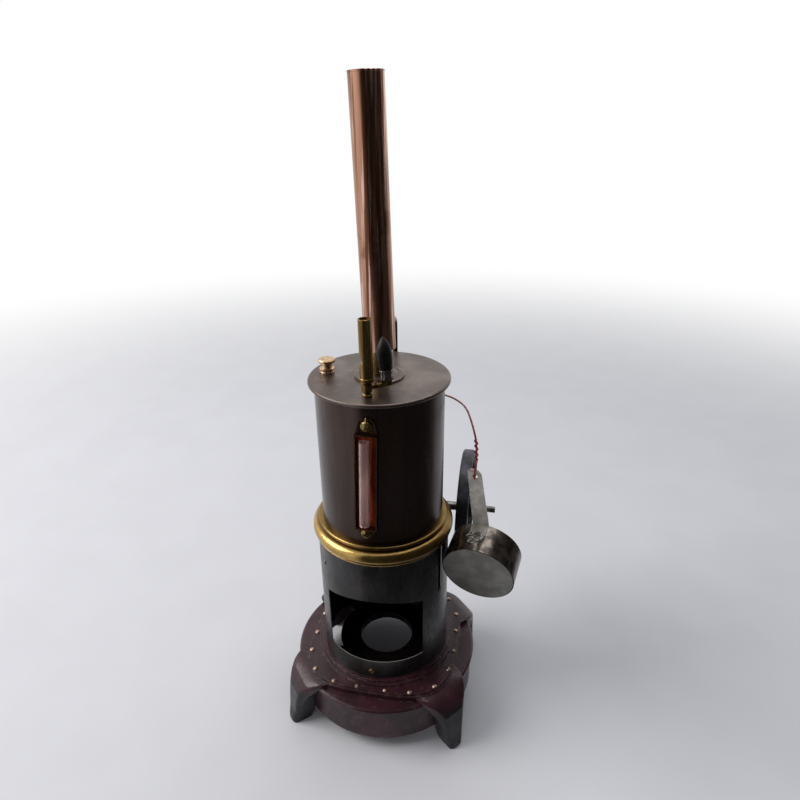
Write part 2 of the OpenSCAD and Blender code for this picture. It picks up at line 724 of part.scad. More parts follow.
// A pipe that rises from the origin and turns forward to run to the given distance
module bent_pipe(rise, forward, bend) {
    cylinder(r = pipe_r, h = rise - bend);
    translate([0, -bend, rise - bend]) rotate([90, 0, 90]) rotate_extrude(angle = 90)
        translate([bend, 0]) circle(r = pipe_r);
    translate([0, -forward, rise]) rotate([-90, 0, 0]) cylinder(r = pipe_r, h = forward - bend);
}

module steam_pipe() {
    x = -plate_half_t - pipe_r - 0.1;
    y = shaft_y - 3.5;
    nut_y = boiler_r + 2.5;
    color("#a06a4c") difference() {
        union() {
            translate([x, y, block_top_z]) bent_pipe(steam_z - block_top_z, y - boiler_r / 2, pipe_bend);
            translate([x, boiler_r / 2, steam_z]) rotate([-90, 0, 0])
                cylinder(r = pipe_r + 1.6, h = nut_y - boiler_r / 2);
        }
        translate([0, 0, boiler_bottom_z]) cylinder(r = boiler_r, h = plate_z - boiler_bottom_z);
    }
}

module exhaust_pipe() {
    color("#7d5a3a") difference() {
        translate([0, exhaust_y, block_top_z])
            bent_pipe(exhaust_top_z - block_top_z, exhaust_y - 4, pipe_bend + 1);
        chimney_bore(chimney_foot_r, chimney_top_r);
    }
}

module at_burner() {
    translate(burner_hang) rotate([0, 0, -11.5]) rotate([14.4, 0, 0]) rotate([0, -3.2, 0]) children();
}

module in_tin(y) {
    at_burner() translate([burner_off_x, y, -burner_handle_l - burner_r]) rotate([-90, 0, 0]) children();
}

module burner_tin() {
    color("#9a9a96") in_tin(-burner_h) difference() {
        cylinder(r = burner_r, h = burner_h);
        translate([0, 0, burner_t]) cylinder(r = burner_r - burner_t, h = burner_h - 2 * burner_t);
        translate([0, 0, burner_h - burner_t - cut]) cylinder(r = wick_r, h = burner_t + 2 * cut);
    }
}

module burner_wick_tube() {
    color("#8f8a84") in_tin(-8) tube(wick_r, wick_r - 0.7, 12);
}

module burner_handle() {
    half = burner_handle_w / 2;
    color("#b3aea4") at_burner() difference() {
        rotate([-90, 0, 0]) linear_extrude(burner_t)
            polygon([[-half + 0.6, -4], [-2.4, -6.4], [2.2, -5.6], [half - 1, -2.6],
                     [half + 0.4, burner_handle_l + handle_lap],
                     [-half - 0.4, burner_handle_l + handle_lap]]);
        translate([0, -cut, 0]) rotate([-90, 0, 0]) cylinder(r = handle_hole_r, h = burner_t + 2 * cut);
    }
}

module hanging_wire() {
    color("#8a3a2c") swept_bar(wire_route, wire_r);
}

base_casting();
foot_front_right();
foot_rear_right();
foot_rear_left();
foot_front_left();
firebox_shell();
boiler_bottom();
boiler_shell();
brass_ring();
top_plate();
flue_tube();
chimney_flange();
chimney_collar();
chimney_tube();
filler_seat();
filler_cap();
whistle_stem();
whistle_tube();
whistle_arm();
valve_ferrule();
valve_handle();
gauge_channel();
gauge_glass();
gauge_top_fitting();
gauge_bottom_fitting();
engine_plate();
port_block();
engine_cylinder();
piston_rod();
bearing_tube();
shaft_bracket();
crankshaft();
crank_disc();
flywheel();
steam_pipe();
exhaust_pipe();
burner_tin();
burner_wick_tube();
burner_handle();
hanging_wire();
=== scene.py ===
"""Looks of a toy vertical steam engine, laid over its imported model.

All sizes are in metres in the model's own frame: the front is -Y, +Z is up, and the origin
lies on the table under the boiler's axis.
"""

import json
import math
import random

import bmesh
import bpy
from bpy.props import FloatProperty, FloatVectorProperty, IntProperty, PointerProperty
from mathutils import Matrix, Vector, noise


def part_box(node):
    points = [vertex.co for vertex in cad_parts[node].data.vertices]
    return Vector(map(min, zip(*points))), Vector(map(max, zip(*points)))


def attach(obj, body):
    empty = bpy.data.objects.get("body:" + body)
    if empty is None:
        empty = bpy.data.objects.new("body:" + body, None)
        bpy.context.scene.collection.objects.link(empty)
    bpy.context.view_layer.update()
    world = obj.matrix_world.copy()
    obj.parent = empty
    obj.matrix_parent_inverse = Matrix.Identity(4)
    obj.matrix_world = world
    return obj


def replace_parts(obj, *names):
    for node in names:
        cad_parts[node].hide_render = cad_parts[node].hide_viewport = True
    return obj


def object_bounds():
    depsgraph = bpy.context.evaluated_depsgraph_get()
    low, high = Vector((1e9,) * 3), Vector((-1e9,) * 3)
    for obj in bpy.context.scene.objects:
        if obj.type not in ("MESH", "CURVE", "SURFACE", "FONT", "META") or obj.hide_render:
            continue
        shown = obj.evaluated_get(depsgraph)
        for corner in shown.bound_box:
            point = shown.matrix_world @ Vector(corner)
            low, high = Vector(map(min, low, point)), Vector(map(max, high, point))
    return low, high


bl_info = {
    "name": "Toy Vertical Steam Engine",
    "version": (1, 0, 0),
    "blender": (4, 5, 0),
    "location": "View3D > Sidebar > Steam Engine",
    "description": "Finishes, fasteners and wire of a toy vertical steam engine",
    "category": "Object",
}

MM = 0.001
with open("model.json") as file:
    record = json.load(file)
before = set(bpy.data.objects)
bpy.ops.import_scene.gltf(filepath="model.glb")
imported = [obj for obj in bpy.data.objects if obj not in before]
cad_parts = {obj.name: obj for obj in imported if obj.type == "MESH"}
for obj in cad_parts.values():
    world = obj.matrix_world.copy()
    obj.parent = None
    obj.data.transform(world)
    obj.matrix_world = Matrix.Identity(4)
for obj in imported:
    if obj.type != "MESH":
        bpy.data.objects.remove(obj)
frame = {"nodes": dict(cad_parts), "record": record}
CAD_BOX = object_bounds()
NODES = frame["nodes"]
SLOTS = {part["node"]: part["material_slot"] for part in frame["record"]["subparts"]}


def shade(code):
    """Linear colour of an sRGB hex code."""
    channels = [int(code[i:i + 2], 16) / 255 for i in (1, 3, 5)]
    return tuple(c / 12.92 if c <= 0.04045 else ((c + 0.055) / 1.055) ** 2.4 for c in channels)


# Sizes taken from the frame
BOILER_LOW, BOILER_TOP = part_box("boiler_shell")
BOILER_R = BOILER_TOP.x
FIREBOX_LOW, FIREBOX_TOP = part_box("firebox_shell")
FIREBOX_R = FIREBOX_TOP.x
RING_LOW, RING_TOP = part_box("brass_ring")
PLATE_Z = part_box("top_plate")[1].z
CHIMNEY_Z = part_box("chimney_tube")[0].z
WHEEL_LOW, WHEEL_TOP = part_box("flywheel")
SHAFT_Y = (WHEEL_LOW.y + WHEEL_TOP.y) / 2
SHAFT_Z = (WHEEL_LOW.z + WHEEL_TOP.z) / 2
DECK_Z = FIREBOX_LOW.z

# The burner's own frame: it hangs by the hole of its handle
BURNER_HANG = Vector((61.3, -14.8, 193.2)) * MM
BURNER_TURN, BURNER_TILT, BURNER_ROLL = -11.5, 14.4, -3.2
BURNER_HANDLE_L = 43 * MM
BURNER_R = 23.8 * MM
BURNER_H = 21.4 * MM
BURNER_OFF_X = 2 * MM

# The water gauge leans a little on the boiler. Heights are counted from the gauge's middle
GAUGE_Z = 198.3 * MM
GAUGE_LEAN = 1.9
GAUGE_HALF_W = 6.8 * MM
GAUGE_HALF_L = 32.3 * MM
GAUGE_D = 3.2 * MM
GAUGE_TOP_SCREW = 37.4 * MM
GAUGE_LOW_SCREW = -35.7 * MM
GAUGE_TOP_TAB_R = 5.2 * MM
GAUGE_LOW_TAB_R = 3.8 * MM
GAUGE_SCREW_R = 3.3 * MM
GLASS_R = 3.1 * MM
GLASS_LOW, GLASS_TOP = -27.4 * MM, 29 * MM

# The ring's section: a thin band, a broad swell over it and a small bead on top
RING_R = 47 * MM
RING_H = RING_TOP.z - RING_LOW.z
RING_BAND_R, RING_BAND_H = 45.8 * MM, 1.4 * MM
RING_SWELL_R = 4.6 * MM
RING_BEAD_X, RING_BEAD_R = 42 * MM, 1.4 * MM
RING_SEAT_H = 2 * MM

# The chimney is a plain tube that leans to the left, a little off the collar's middle
CHIMNEY_R = 9.4 * MM
CHIMNEY_WALL = 0.8 * MM
CHIMNEY_LEAN = 1.4
CHIMNEY_SHIFT = 0.9 * MM
CHIMNEY_L = 145.5 * MM

# Whistle and cock
WHISTLE_AT = Vector((0, BOILER_LOW.y + 8.5 * MM, PLATE_Z))
WHISTLE_R = 3.7 * MM
WHISTLE_FOOT, WHISTLE_H = 9 * MM, 45 * MM
MOUTH_LOW, MOUTH_TOP = 20 * MM, 26 * MM
MOUTH_TURN = 190
ARM_TURN, ARM_Z, ARM_L = 37, 5.2 * MM, 12.5 * MM
COCK_LEAN = 10
HANDLE_R, HANDLE_H = 4.4 * MM, 25.5 * MM
FERRULE_Z, FERRULE_H, FERRULE_R = 1.8 * MM, 6.2 * MM, 3.9 * MM

# The exhaust pipe turns forward into the back of the chimney
EXHAUST_R = 1.8 * MM
EXHAUST_Y = 49 * MM
EXHAUST_LOW, EXHAUST_TOP = 207 * MM, 272.5 * MM
EXHAUST_BEND = 6 * MM
EXHAUST_IN = 0.4 * MM

# Bracket feet: seen from the side each falls from the deck's corner over a knee to the toe, and from
# outside it narrows downwards. The deck's straight sides cut them square in plan. Each table holds
# heights in millimetres, with the distance back from the toe, the heel's radius or half the width
FOOT_TURN = 41
TOE_R = 79.8 * MM
FOOT_SIDE = ((0, 1.0), (1, 0), (4, 0.4), (10, 2), (20, 3.2), (28, 4.8), (33, 7), (37, 10.3), (38.8, 13.8),
             (40.2, 17.8), (40.8, 27.8))
FOOT_HEEL = ((0, 65.8), (5, 63.8), (10, 62), (34, 62), (37, 50), (40.8, 48))
FOOT_HALF_W = ((0, 5.5), (3, 6), (10, 6.8), (18, 8), (25, 10.5), (30, 13.5), (34, 16), (37, 18.5), (40.8, 20))
FOOT_SIDE_LIMIT, FOOT_FRONT_LIMIT = 62 * MM, 55 * MM

# Engine at the back
ENGINE_FACE_X = 2 * MM
CYLINDER_X = -14 * MM
CYLINDER_TOP = 210 * MM
PIVOT_Z = 189 * MM

# The wire's route, with the same points as the CAD wire
WIRE_ROUTE = [Vector(p) * MM for p in (
    (61.2, -18.2, 192.2), (61.3, -14.8, 193.6), (61.4, -12.2, 197), (61.4, -10.6, 203), (60.6, -6, 212),
    (58.6, -1, 217.5), (55.6, 8, 221), (52.2, 19, 222), (47, 31, 221), (38, 42, 220), (25, 48.5, 219),
    (12, 50.5, 218), (4, 52, 218), (0, 51.7, 218))]


def turned(axis, degrees):
    """A turn about an axis."""
    return Matrix.Rotation(math.radians(degrees), 4, axis)


def moved(x, y, z):
    """A move, in metres."""
    return Matrix.Translation((x, y, z))


BURNER = (Matrix.Translation(BURNER_HANG) @ turned("Z", BURNER_TURN) @ turned("X", BURNER_TILT)
          @ turned("Y", BURNER_ROLL))
GAUGE = moved(0, -BOILER_R, GAUGE_Z) @ turned("Y", GAUGE_LEAN)
COCK = (Matrix.Translation(WHISTLE_AT) @ moved(0, 0, ARM_Z) @ turned("Z", ARM_TURN)
        @ turned("X", -COCK_LEAN) @ moved(ARM_L, 0, FERRULE_Z))


# Properties that a user would change

class EngineSizes(bpy.types.PropertyGroup):
    """Sizes of the small parts"""

    rivet_radius: FloatProperty(
        name="Rivet Radius", description="Radius of the deck's rivet heads",
        default=1.75 * MM, min=0.5 * MM, max=3 * MM, unit="LENGTH")
    rivet_height: FloatProperty(
        name="Rivet Height", description="Height of the deck's rivet heads",
        default=1.1 * MM, min=0.3 * MM, max=2 * MM, unit="LENGTH")
    rivet_margin: FloatProperty(
        name="Rivet Margin", description="Distance of the rivets from the deck's edge",
        default=3 * MM, min=2 * MM, max=5 * MM, unit="LENGTH")
    deck_half: FloatProperty(
        name="Deck Half Width",
        description="Distance from the axis to the deck's edge, at the middle of a side",
        default=54 * MM, min=50 * MM, max=56 * MM, unit="LENGTH")
    deck_square: FloatProperty(
        name="Deck Squareness", description="Squareness of the rivets' line, from 2 for a circle upwards",
        default=3.6, min=2, max=5)
    wire_radius: FloatProperty(
        name="Wire Radius", description="Radius of the coated wire",
        default=0.62 * MM, min=0.3 * MM, max=0.9 * MM, unit="LENGTH")
    wire_turns: IntProperty(
        name="Wire Turns", description="Turns of the wire's free end round the wire",
        default=4, min=1, max=8)


class EngineColours(bpy.types.PropertyGroup):
    """Colours of the finishes"""

    enamel: FloatVectorProperty(
        name="Enamel", description="Enamel of the cast base", subtype="COLOR", default=shade("#3a1e25"),
        min=0, max=1)
    foot_enamel: FloatVectorProperty(
        name="Foot Enamel", description="Darker enamel of the feet", subtype="COLOR",
        default=shade("#171113"), min=0, max=1)
    boiler: FloatVectorProperty(
        name="Boiler", description="Brown patina of the boiler", subtype="COLOR", default=shade("#4c403c"),
        min=0, max=1)
    plate: FloatVectorProperty(
        name="Top Plate", description="Paler patina of the top plate", subtype="COLOR",
        default=shade("#675b55"), min=0, max=1)
    firebox: FloatVectorProperty(
        name="Firebox", description="Blued sheet of the firebox", subtype="COLOR", default=shade("#474546"),
        min=0, max=1)
    ring: FloatVectorProperty(
        name="Ring Brass", description="Polished brass of the ring", subtype="COLOR",
        default=shade("#bd9c5c"), min=0, max=1)
    copper: FloatVectorProperty(
        name="Copper", description="Streaked copper of the chimney", subtype="COLOR",
        default=shade("#a97e69"), min=0, max=1)
    wheel: FloatVectorProperty(
        name="Flywheel", description="Black enamel of the flywheel", subtype="COLOR",
        default=shade("#141217"), min=0, max=1)
    tin: FloatVectorProperty(
        name="Tin", description="Dull tinplate of the burner", subtype="COLOR", default=shade("#9c9b95"),
        min=0, max=1)
    wire: FloatVectorProperty(
        name="Wire Coat", description="Red coat of the wire", subtype="COLOR", default=shade("#8f2f25"),
        min=0, max=1)


class StageSettings(bpy.types.PropertyGroup):
    """Floor and light"""

    floor: FloatVectorProperty(
        name="Floor", description="Colour of the table top", subtype="COLOR", default=shade("#d6d5d8"),
        min=0, max=1)
    key_power: FloatProperty(
        name="Key Light", description="Power of the large lamp at the left", default=20, min=0, unit="POWER")
    sky_level: FloatProperty(
        name="Sky", description="Strength of the even light from all sides", default=0.34, min=0, max=2)


# Making materials

class Finish:
    """One material being laid out: coordinates and masks in the frame's metres, and one shader."""

    def __init__(self, name, metallic=0.0, roughness=0.5, coat=0.0, coat_roughness=0.2, transmission=0.0,
                 ior=1.5, specular=0.5):
        self.material = bpy.data.materials.new(name)
        self.material.use_nodes = True
        self.nodes = self.material.node_tree.nodes
        self.links = self.material.node_tree.links
        self.shader = self.nodes["Principled BSDF"]
        for socket, value in (("Metallic", metallic), ("Roughness", roughness), ("Coat Weight", coat),
                              ("Coat Roughness", coat_roughness), ("Transmission Weight", transmission),
                              ("IOR", ior), ("Specular IOR Level", specular)):
            self.shader.inputs[socket].default_value = value
        self.place = self.add("ShaderNodeTexCoord").outputs["Object"]

    def add(self, kind, inputs=None, **settings):
        """A new node, with its inputs fed and its settings made."""
        node = self.nodes.new(kind)
        for key, value in settings.items():
            setattr(node, key, value)
        for key, value in (inputs or {}).items():
            self.feed(node.inputs[key], value)
        return node

    def feed(self, socket, value):
        """Links an output to an input, or sets the input's value."""
        if isinstance(value, bpy.types.NodeSocket):
            self.links.new(value, socket)
        elif hasattr(value, "__len__") and socket.type == "RGBA":
            socket.default_value = (*value[:3], 1)
        else:
            socket.default_value = value

    def math(self, operation, a, b=0.0):
        node = self.add("ShaderNodeMath", {0: a, 1: b}, operation=operation)
        return node.outputs[0]

    def noise(self, size, detail=3.0, stretch=(1, 1, 1), shift=0.0, distortion=0.0):
        """Cloudy noise from 0 to 1, with features of this size in metres."""
        at = self.add("ShaderNodeMapping", {"Vector": self.place, "Scale": stretch,
                                            "Location": (shift, shift * 0.7, shift * 0.3)}).outputs[0]
        return self.add("ShaderNodeTexNoise", {"Vector": at, "Scale": 1 / size, "Detail": detail,
                                               "Distortion": distortion}).outputs[0]

    def span(self, value, low, high, to_low=0.0, to_high=1.0):
        """value from low to high is spread over to_low to to_high, softly at both ends."""
        return self.add("ShaderNodeMapRange", {"Value": value, "From Min": low, "From Max": high,
                                               "To Min": to_low, "To Max": to_high},
                        interpolation_type="SMOOTHSTEP").outputs[0]

    def mix(self, share, a, b):
        """Colour a where share is 0, and b where it is 1."""
        node = self.add("ShaderNodeMix", data_type="RGBA")
        self.feed(node.inputs[0], share)
        self.feed(node.inputs[6], a)
        self.feed(node.inputs[7], b)
        return node.outputs[2]

    def both(self, a, b):
        return self.math("MULTIPLY", a, b)

    def either(self, a, b):
        return self.math("MAXIMUM", a, b)

    def split(self):
        """The three coordinates of a point."""
        return self.add("ShaderNodeSeparateXYZ", {0: self.place}).outputs

    def radius(self):
        """Distance from the boiler's axis."""
        x, y, _ = self.split()
        return self.math("SQRT", self.math("ADD", self.both(x, x), self.both(y, y)))

    def height(self):
        return self.split()[2]

    def near(self, value, middle, reach):
        """1 where value is at middle, and 0 from reach away."""
        away = self.math("ABSOLUTE", self.math("SUBTRACT", value, middle))
        return self.span(away, 0, reach, 1, 0)

    def rounded(self, reach):
        """A normal with its edges rounded off."""
        return self.add("ShaderNodeBevel", {"Radius": reach}, samples=4).outputs[0]

    def edges(self, reach, low=0.02, high=0.3):
        """1 on edges and 0 on flat stretches."""
        flat = self.add("ShaderNodeNewGeometry").outputs["Normal"]
        node = self.add("ShaderNodeVectorMath", {0: self.rounded(reach), 1: flat}, operation="DOT_PRODUCT")
        return self.span(self.math("SUBTRACT", 1.0, node.outputs["Value"]), low, high)

    def colour(self, value):
        self.feed(self.shader.inputs["Base Color"], value)

    def roughness(self, value):
        self.feed(self.shader.inputs["Roughness"], value)

    def metallic(self, value):
        self.feed(self.shader.inputs["Metallic"], value)

    def relief(self, height, depth, reach=None):
        """Raises the surface by depth where height is 1, with edges rounded over reach."""
        inputs = {"Height": height, "Distance": depth, "Strength": 1.0}
        if reach:
            inputs["Normal"] = self.rounded(reach)
        self.feed(self.shader.inputs["Normal"], self.add("ShaderNodeBump", inputs).outputs[0])
        return self.material


def scratches(f, size, stretch, shift=0.0):
    """Thin lines drawn out along one direction."""
    line = f.noise(size, detail=6, stretch=stretch, shift=shift)
    return f.near(line, 0.5, 0.012)


def cast_enamel(colours, name="maroon_cast_iron", feet=False):
    """Enamel on rough cast iron, worn along its edges: soot with painted shade inside the firebox, black on
    the feet.
    """
    f = Finish(name, roughness=0.3, coat=0.14, coat_roughness=0.2, specular=0.28)
    base = Vector(colours.enamel)
    cloud = f.noise(18 * MM, detail=5)
    grain = f.noise(1.3 * MM, detail=3)
    paint = f.mix(f.span(cloud, 0.35, 0.68), base * 0.55, base * 1.15)
    dust = f.both(f.span(f.noise(5 * MM, detail=6, shift=2), 0.54, 0.74), 0.22)
    paint = f.mix(dust, paint, shade("#6d5450"))
    if feet:
        black = Vector(colours.foot_enamel)
        black = f.mix(f.span(cloud, 0.35, 0.65), black * 0.6, black * 1.3)
        paint = f.mix(f.span(f.height(), 27 * MM, 36 * MM, 1, 0), paint, black)
    else:
        # Inside the firebox the enamel is darkened to near black: real soot together with painted shade.
        soot_and_shade = f.span(f.radius(), FIREBOX_R - 2.2 * MM, FIREBOX_R - 0.6 * MM, 1, 0)
        soot_and_shade = f.both(soot_and_shade, f.span(f.noise(6 * MM, shift=4), 0.2, 0.7, 1, 0.85))
        paint = f.mix(soot_and_shade, paint, shade("#0f0b0b"))
    worn = f.both(f.edges(0.8 * MM, 0.05, 0.3), f.span(f.noise(4 * MM, detail=6, shift=7), 0.5, 0.62))
    f.colour(f.mix(f.both(worn, 0.8), paint, shade("#a38b7e")))
    f.roughness(f.span(cloud, 0.3, 0.7, 0.4, 0.24))
    f.metallic(f.both(worn, 0.5))
    return f.relief(f.math("ADD", f.both(grain, 0.5), f.both(cloud, 1.6)), 0.22 * MM, 0.9 * MM)


def firebox_sheet(colours):
    """Blued sheet iron: heat stains above the stoke opening, bare cut edges painted pale as a highlight, rust
    specks low down.
    """
    f = Finish("firebox_sheet", metallic=0.85, roughness=0.36)
    base = Vector(colours.firebox)
    cloud = f.noise(22 * MM, detail=5, stretch=(1, 1, 0.6))
    fine = f.noise(2.2 * MM, detail=4, stretch=(1, 1, 0.3))
    metal = f.mix(f.span(cloud, 0.35, 0.66), base * 0.55, base * 1.15)
    heat = f.both(f.span(f.height(), 104 * MM, 126 * MM, 1, 0), f.span(f.height(), 88 * MM, 108 * MM))
    metal = f.mix(f.both(heat, 0.55), metal, shade("#34362c"))
    brown = f.span(f.noise(8 * MM, detail=5, shift=6), 0.5, 0.7)
    low = f.span(f.height(), DECK_Z, DECK_Z + 22 * MM, 1, 0)
    metal = f.mix(f.both(f.either(low, 0.25), f.both(brown, 0.75)), metal, shade("#4a3a28"))
    # The sheet's inner face is painted near black: soot together with painted shade inside the firebox.
    soot_and_shade = f.span(f.radius(), FIREBOX_R - 0.99 * MM, FIREBOX_R - 0.93 * MM, 1, 0)
    metal = f.mix(soot_and_shade, metal, shade("#120f0f"))
    # The sheet's cut edges: bare metal, painted pale and nearly non-metallic as a highlight.
    cut = f.near(f.radius(), FIREBOX_R - 0.5 * MM, 0.42 * MM)
    f.colour(f.mix(f.both(cut, 0.85), metal, shade("#b0aba2")))
    f.metallic(f.span(cut, 0, 1, 0.85, 0.1))
    f.roughness(f.either(f.span(fine, 0.3, 0.7, 0.25, 0.38), f.both(soot_and_shade, 0.7)))
    return f.relief(f.math("ADD", f.both(fine, 0.3), cloud), 0.12 * MM)


def boiler_patina(colours):
    """Brown satin patina with a faint vertical grain, darker towards the ring."""
    f = Finish("boiler_metal", metallic=0.92, roughness=0.3)
    base = Vector(colours.boiler)
    cloud = f.noise(30 * MM, detail=5, stretch=(1, 1, 0.5))
    grain = f.noise(1.6 * MM, detail=4, stretch=(1, 1, 0.05))
    metal = f.mix(f.span(cloud, 0.32, 0.68), base * 0.72, base * 1.12)
    metal = f.mix(f.span(grain, 0.45, 0.75, 0, 0.25), metal, base * 1.5)
    warm = f.span(f.noise(40 * MM, detail=3, shift=3), 0.5, 0.75, 0, 0.6)
    metal = f.mix(warm, metal, shade("#54402f"))
    low = f.span(f.height(), BOILER_LOW.z, BOILER_LOW.z + 26 * MM, 0.55, 0)
    metal = f.mix(low, metal, shade("#2c211c"))
    drawn = f.span(f.noise(5 * MM, detail=3, stretch=(1, 1, 0.04), shift=5), 0.4, 0.66)
    f.colour(f.mix(f.both(drawn, 0.4), metal, base * 0.6))
    f.roughness(f.span(cloud, 0.3, 0.7, 0.32, 0.23))
    return f.relief(f.math("ADD", f.both(grain, 0.35), cloud), 0.1 * MM)


def plate_patina(colours):
    """The boiler's patina on the top plate, paler, with rubbed arcs and stains round its fittings."""
    f = Finish("plate_metal", metallic=0.9, roughness=0.34)
    base = Vector(colours.plate)
    cloud = f.noise(20 * MM, detail=6)
    metal = f.mix(f.span(cloud, 0.32, 0.68), base * 0.72, base * 1.15)
    pale = f.span(f.noise(7 * MM, detail=6, shift=3), 0.56, 0.72, 0, 0.14)
    metal = f.mix(pale, metal, shade("#9b9089"))
    ring = f.span(f.radius(), 16 * MM, 21 * MM, 0.5, 0)
    metal = f.mix(ring, metal, shade("#57483f"))
    # Pale edges: a painted highlight along the rims of the plate and the flange.
    rim = f.both(f.edges(0.7 * MM, 0.03, 0.35), f.span(f.noise(5 * MM, shift=5), 0.4, 0.6, 0.2, 0.9))
    f.colour(f.mix(rim, metal, shade("#b9aaa0")))
    f.roughness(f.span(cloud, 0.3, 0.7, 0.4, 0.3))
    return f.relief(f.math("ADD", cloud, f.both(scratches(f, 18 * MM, (1, 1.6, 1)), 0.6)), 0.08 * MM)


def ring_brass(colours):
    """Polished brass, tarnished brown in its grooves, with painted shade towards the right and a painted dark
    reflection over its top.
    """
    f = Finish("ring_brass", metallic=1.0, roughness=0.2)
    base = Vector(colours.ring)
    cloud = f.noise(9 * MM, detail=6)
    grooves = f.either(f.near(f.height(), RING_LOW.z + RING_BAND_H, 0.9 * MM),
                       f.near(f.height(), RING_LOW.z + 2 * RING_SWELL_R, 1.1 * MM))
    tarnish = f.both(f.span(f.noise(3.5 * MM, detail=6, shift=4), 0.4, 0.66), 0.8)
    # Painted shade: the tarnish colour is laid over the right side, most heavily towards +X, away from the
    # light.
    side = f.span(f.split()[0], -14 * MM, 34 * MM, 0.1, 1)
    # Painted dark reflection over the top of the swell and the bead.
    bead = f.span(f.height(), RING_LOW.z + 8 * MM, RING_LOW.z + 10 * MM, 0, 0.62)
    cover = f.either(f.either(f.both(grooves, 0.8), bead), f.both(f.either(tarnish, 0.72), side))
    metal = f.mix(f.span(cloud, 0.35, 0.65), base * 0.78, base * 1.05)
    f.colour(f.mix(cover, metal, shade("#4c361e")))
    f.roughness(f.either(f.both(cover, 0.42), f.span(cloud, 0.3, 0.7, 0.16, 0.26)))
    return f.relief(f.noise(1.1 * MM, detail=3, stretch=(1, 1, 4)), 0.05 * MM)


def streaked_copper(name, base, dark, bright):
    """Drawn copper or brass: long streaks of tarnish along Z between rubbed, bright stretches."""
    f = Finish(name, metallic=1.0, roughness=0.26)
    wide = f.noise(4.5 * MM, detail=4, stretch=(1, 1, 0.03))
    thin = f.noise(1.7 * MM, detail=5, stretch=(1, 1, 0.03), shift=3)
    blots = f.noise(16 * MM, detail=6, shift=8)
    metal = f.mix(f.span(wide, 0.38, 0.62), dark, base)
    metal = f.mix(f.span(thin, 0.5, 0.66, 0, 0.9), metal, bright)
    metal = f.mix(f.span(blots, 0.58, 0.7, 0, 0.55), metal, dark)
    f.colour(metal)
    f.roughness(f.span(thin, 0.35, 0.7, 0.34, 0.22))
    return f.relief(f.math("ADD", f.both(thin, 0.5), wide), 0.1 * MM)


def aged_brass(name, base, dark, roughness=0.28, cover=0.5):
    """Brass with brown tarnish in blots and in its corners."""
    f = Finish(name, metallic=1.0, roughness=roughness)
    blots = f.noise(3.2 * MM, detail=6, shift=len(name))
    fine = f.noise(1.4 * MM, detail=4, shift=2)
    metal = f.mix(f.span(fine, 0.35, 0.7), Vector(base) * 0.85, Vector(base) * 1.1)
    tarnish = f.span(blots, 0.62 - 0.3 * cover, 0.75 - 0.15 * cover)
    tarnish = f.either(tarnish, f.both(f.edges(0.5 * MM), 0.25))
    f.colour(f.mix(f.both(tarnish, 0.9), metal, dark))
    f.roughness(f.span(blots, 0.35, 0.65, roughness * 0.8, roughness * 1.5))
    return f.relief(fine, 0.04 * MM, 0.25 * MM)


def dull_steel(name, base, dark, roughness=0.38, metallic=0.9):
    """Bare steel or tin with grey stains and fine scratches."""
    f = Finish(name, metallic=metallic, roughness=roughness)
    stain = f.noise(7 * MM, detail=6, shift=len(name))
    fine = f.noise(0.9 * MM, detail=4)
    metal = f.mix(f.span(stain, 0.36, 0.66), dark, base)
    f.colour(f.mix(f.span(fine, 0.55, 0.75, 0, 0.35), metal, Vector(base) * 1.25))
    f.roughness(f.span(stain, 0.3, 0.7, roughness * 1.3, roughness * 0.8))
    return f.relief(f.math("ADD", f.both(fine, 0.3), stain), 0.08 * MM, 0.3 * MM)


def wheel_enamel(colours):
    """Black enamel on the flywheel, rubbed grey on the rim and scratched."""
    f = Finish("wheel_iron", roughness=0.42, specular=0.25)
    base = Vector(colours.wheel)
    cloud = f.noise(8 * MM, detail=5)
    paint = f.mix(f.span(cloud, 0.35, 0.65), base * 0.7, base * 1.3)
    _, y, z = f.split()
    y = f.math("SUBTRACT", y, SHAFT_Y)
    z = f.math("SUBTRACT", z, SHAFT_Z)
    out = f.math("SQRT", f.math("ADD", f.both(y, y), f.both(z, z)))
    rim = f.span(out, 42.8 * MM, 43.8 * MM)
    rubbed = f.both(rim, f.span(f.noise(12 * MM, detail=4, shift=6), 0.46, 0.68, 0, 0.6))
    marks = f.both(scratches(f, 14 * MM, (3, 1, 1), 2), f.span(f.noise(9 * MM, shift=3), 0.5, 0.6))
    worn = f.either(f.either(rubbed, f.both(marks, 0.8)),
                    f.both(f.edges(0.6 * MM), f.span(f.noise(3 * MM, shift=8), 0.5, 0.6, 0, 0.7)))
    f.colour(f.mix(worn, paint, shade("#5b5760")))
    f.metallic(f.both(worn, 0.5))
    f.roughness(f.span(cloud, 0.3, 0.7, 0.55, 0.4))
    return f.relief(cloud, 0.2 * MM, 0.5 * MM)


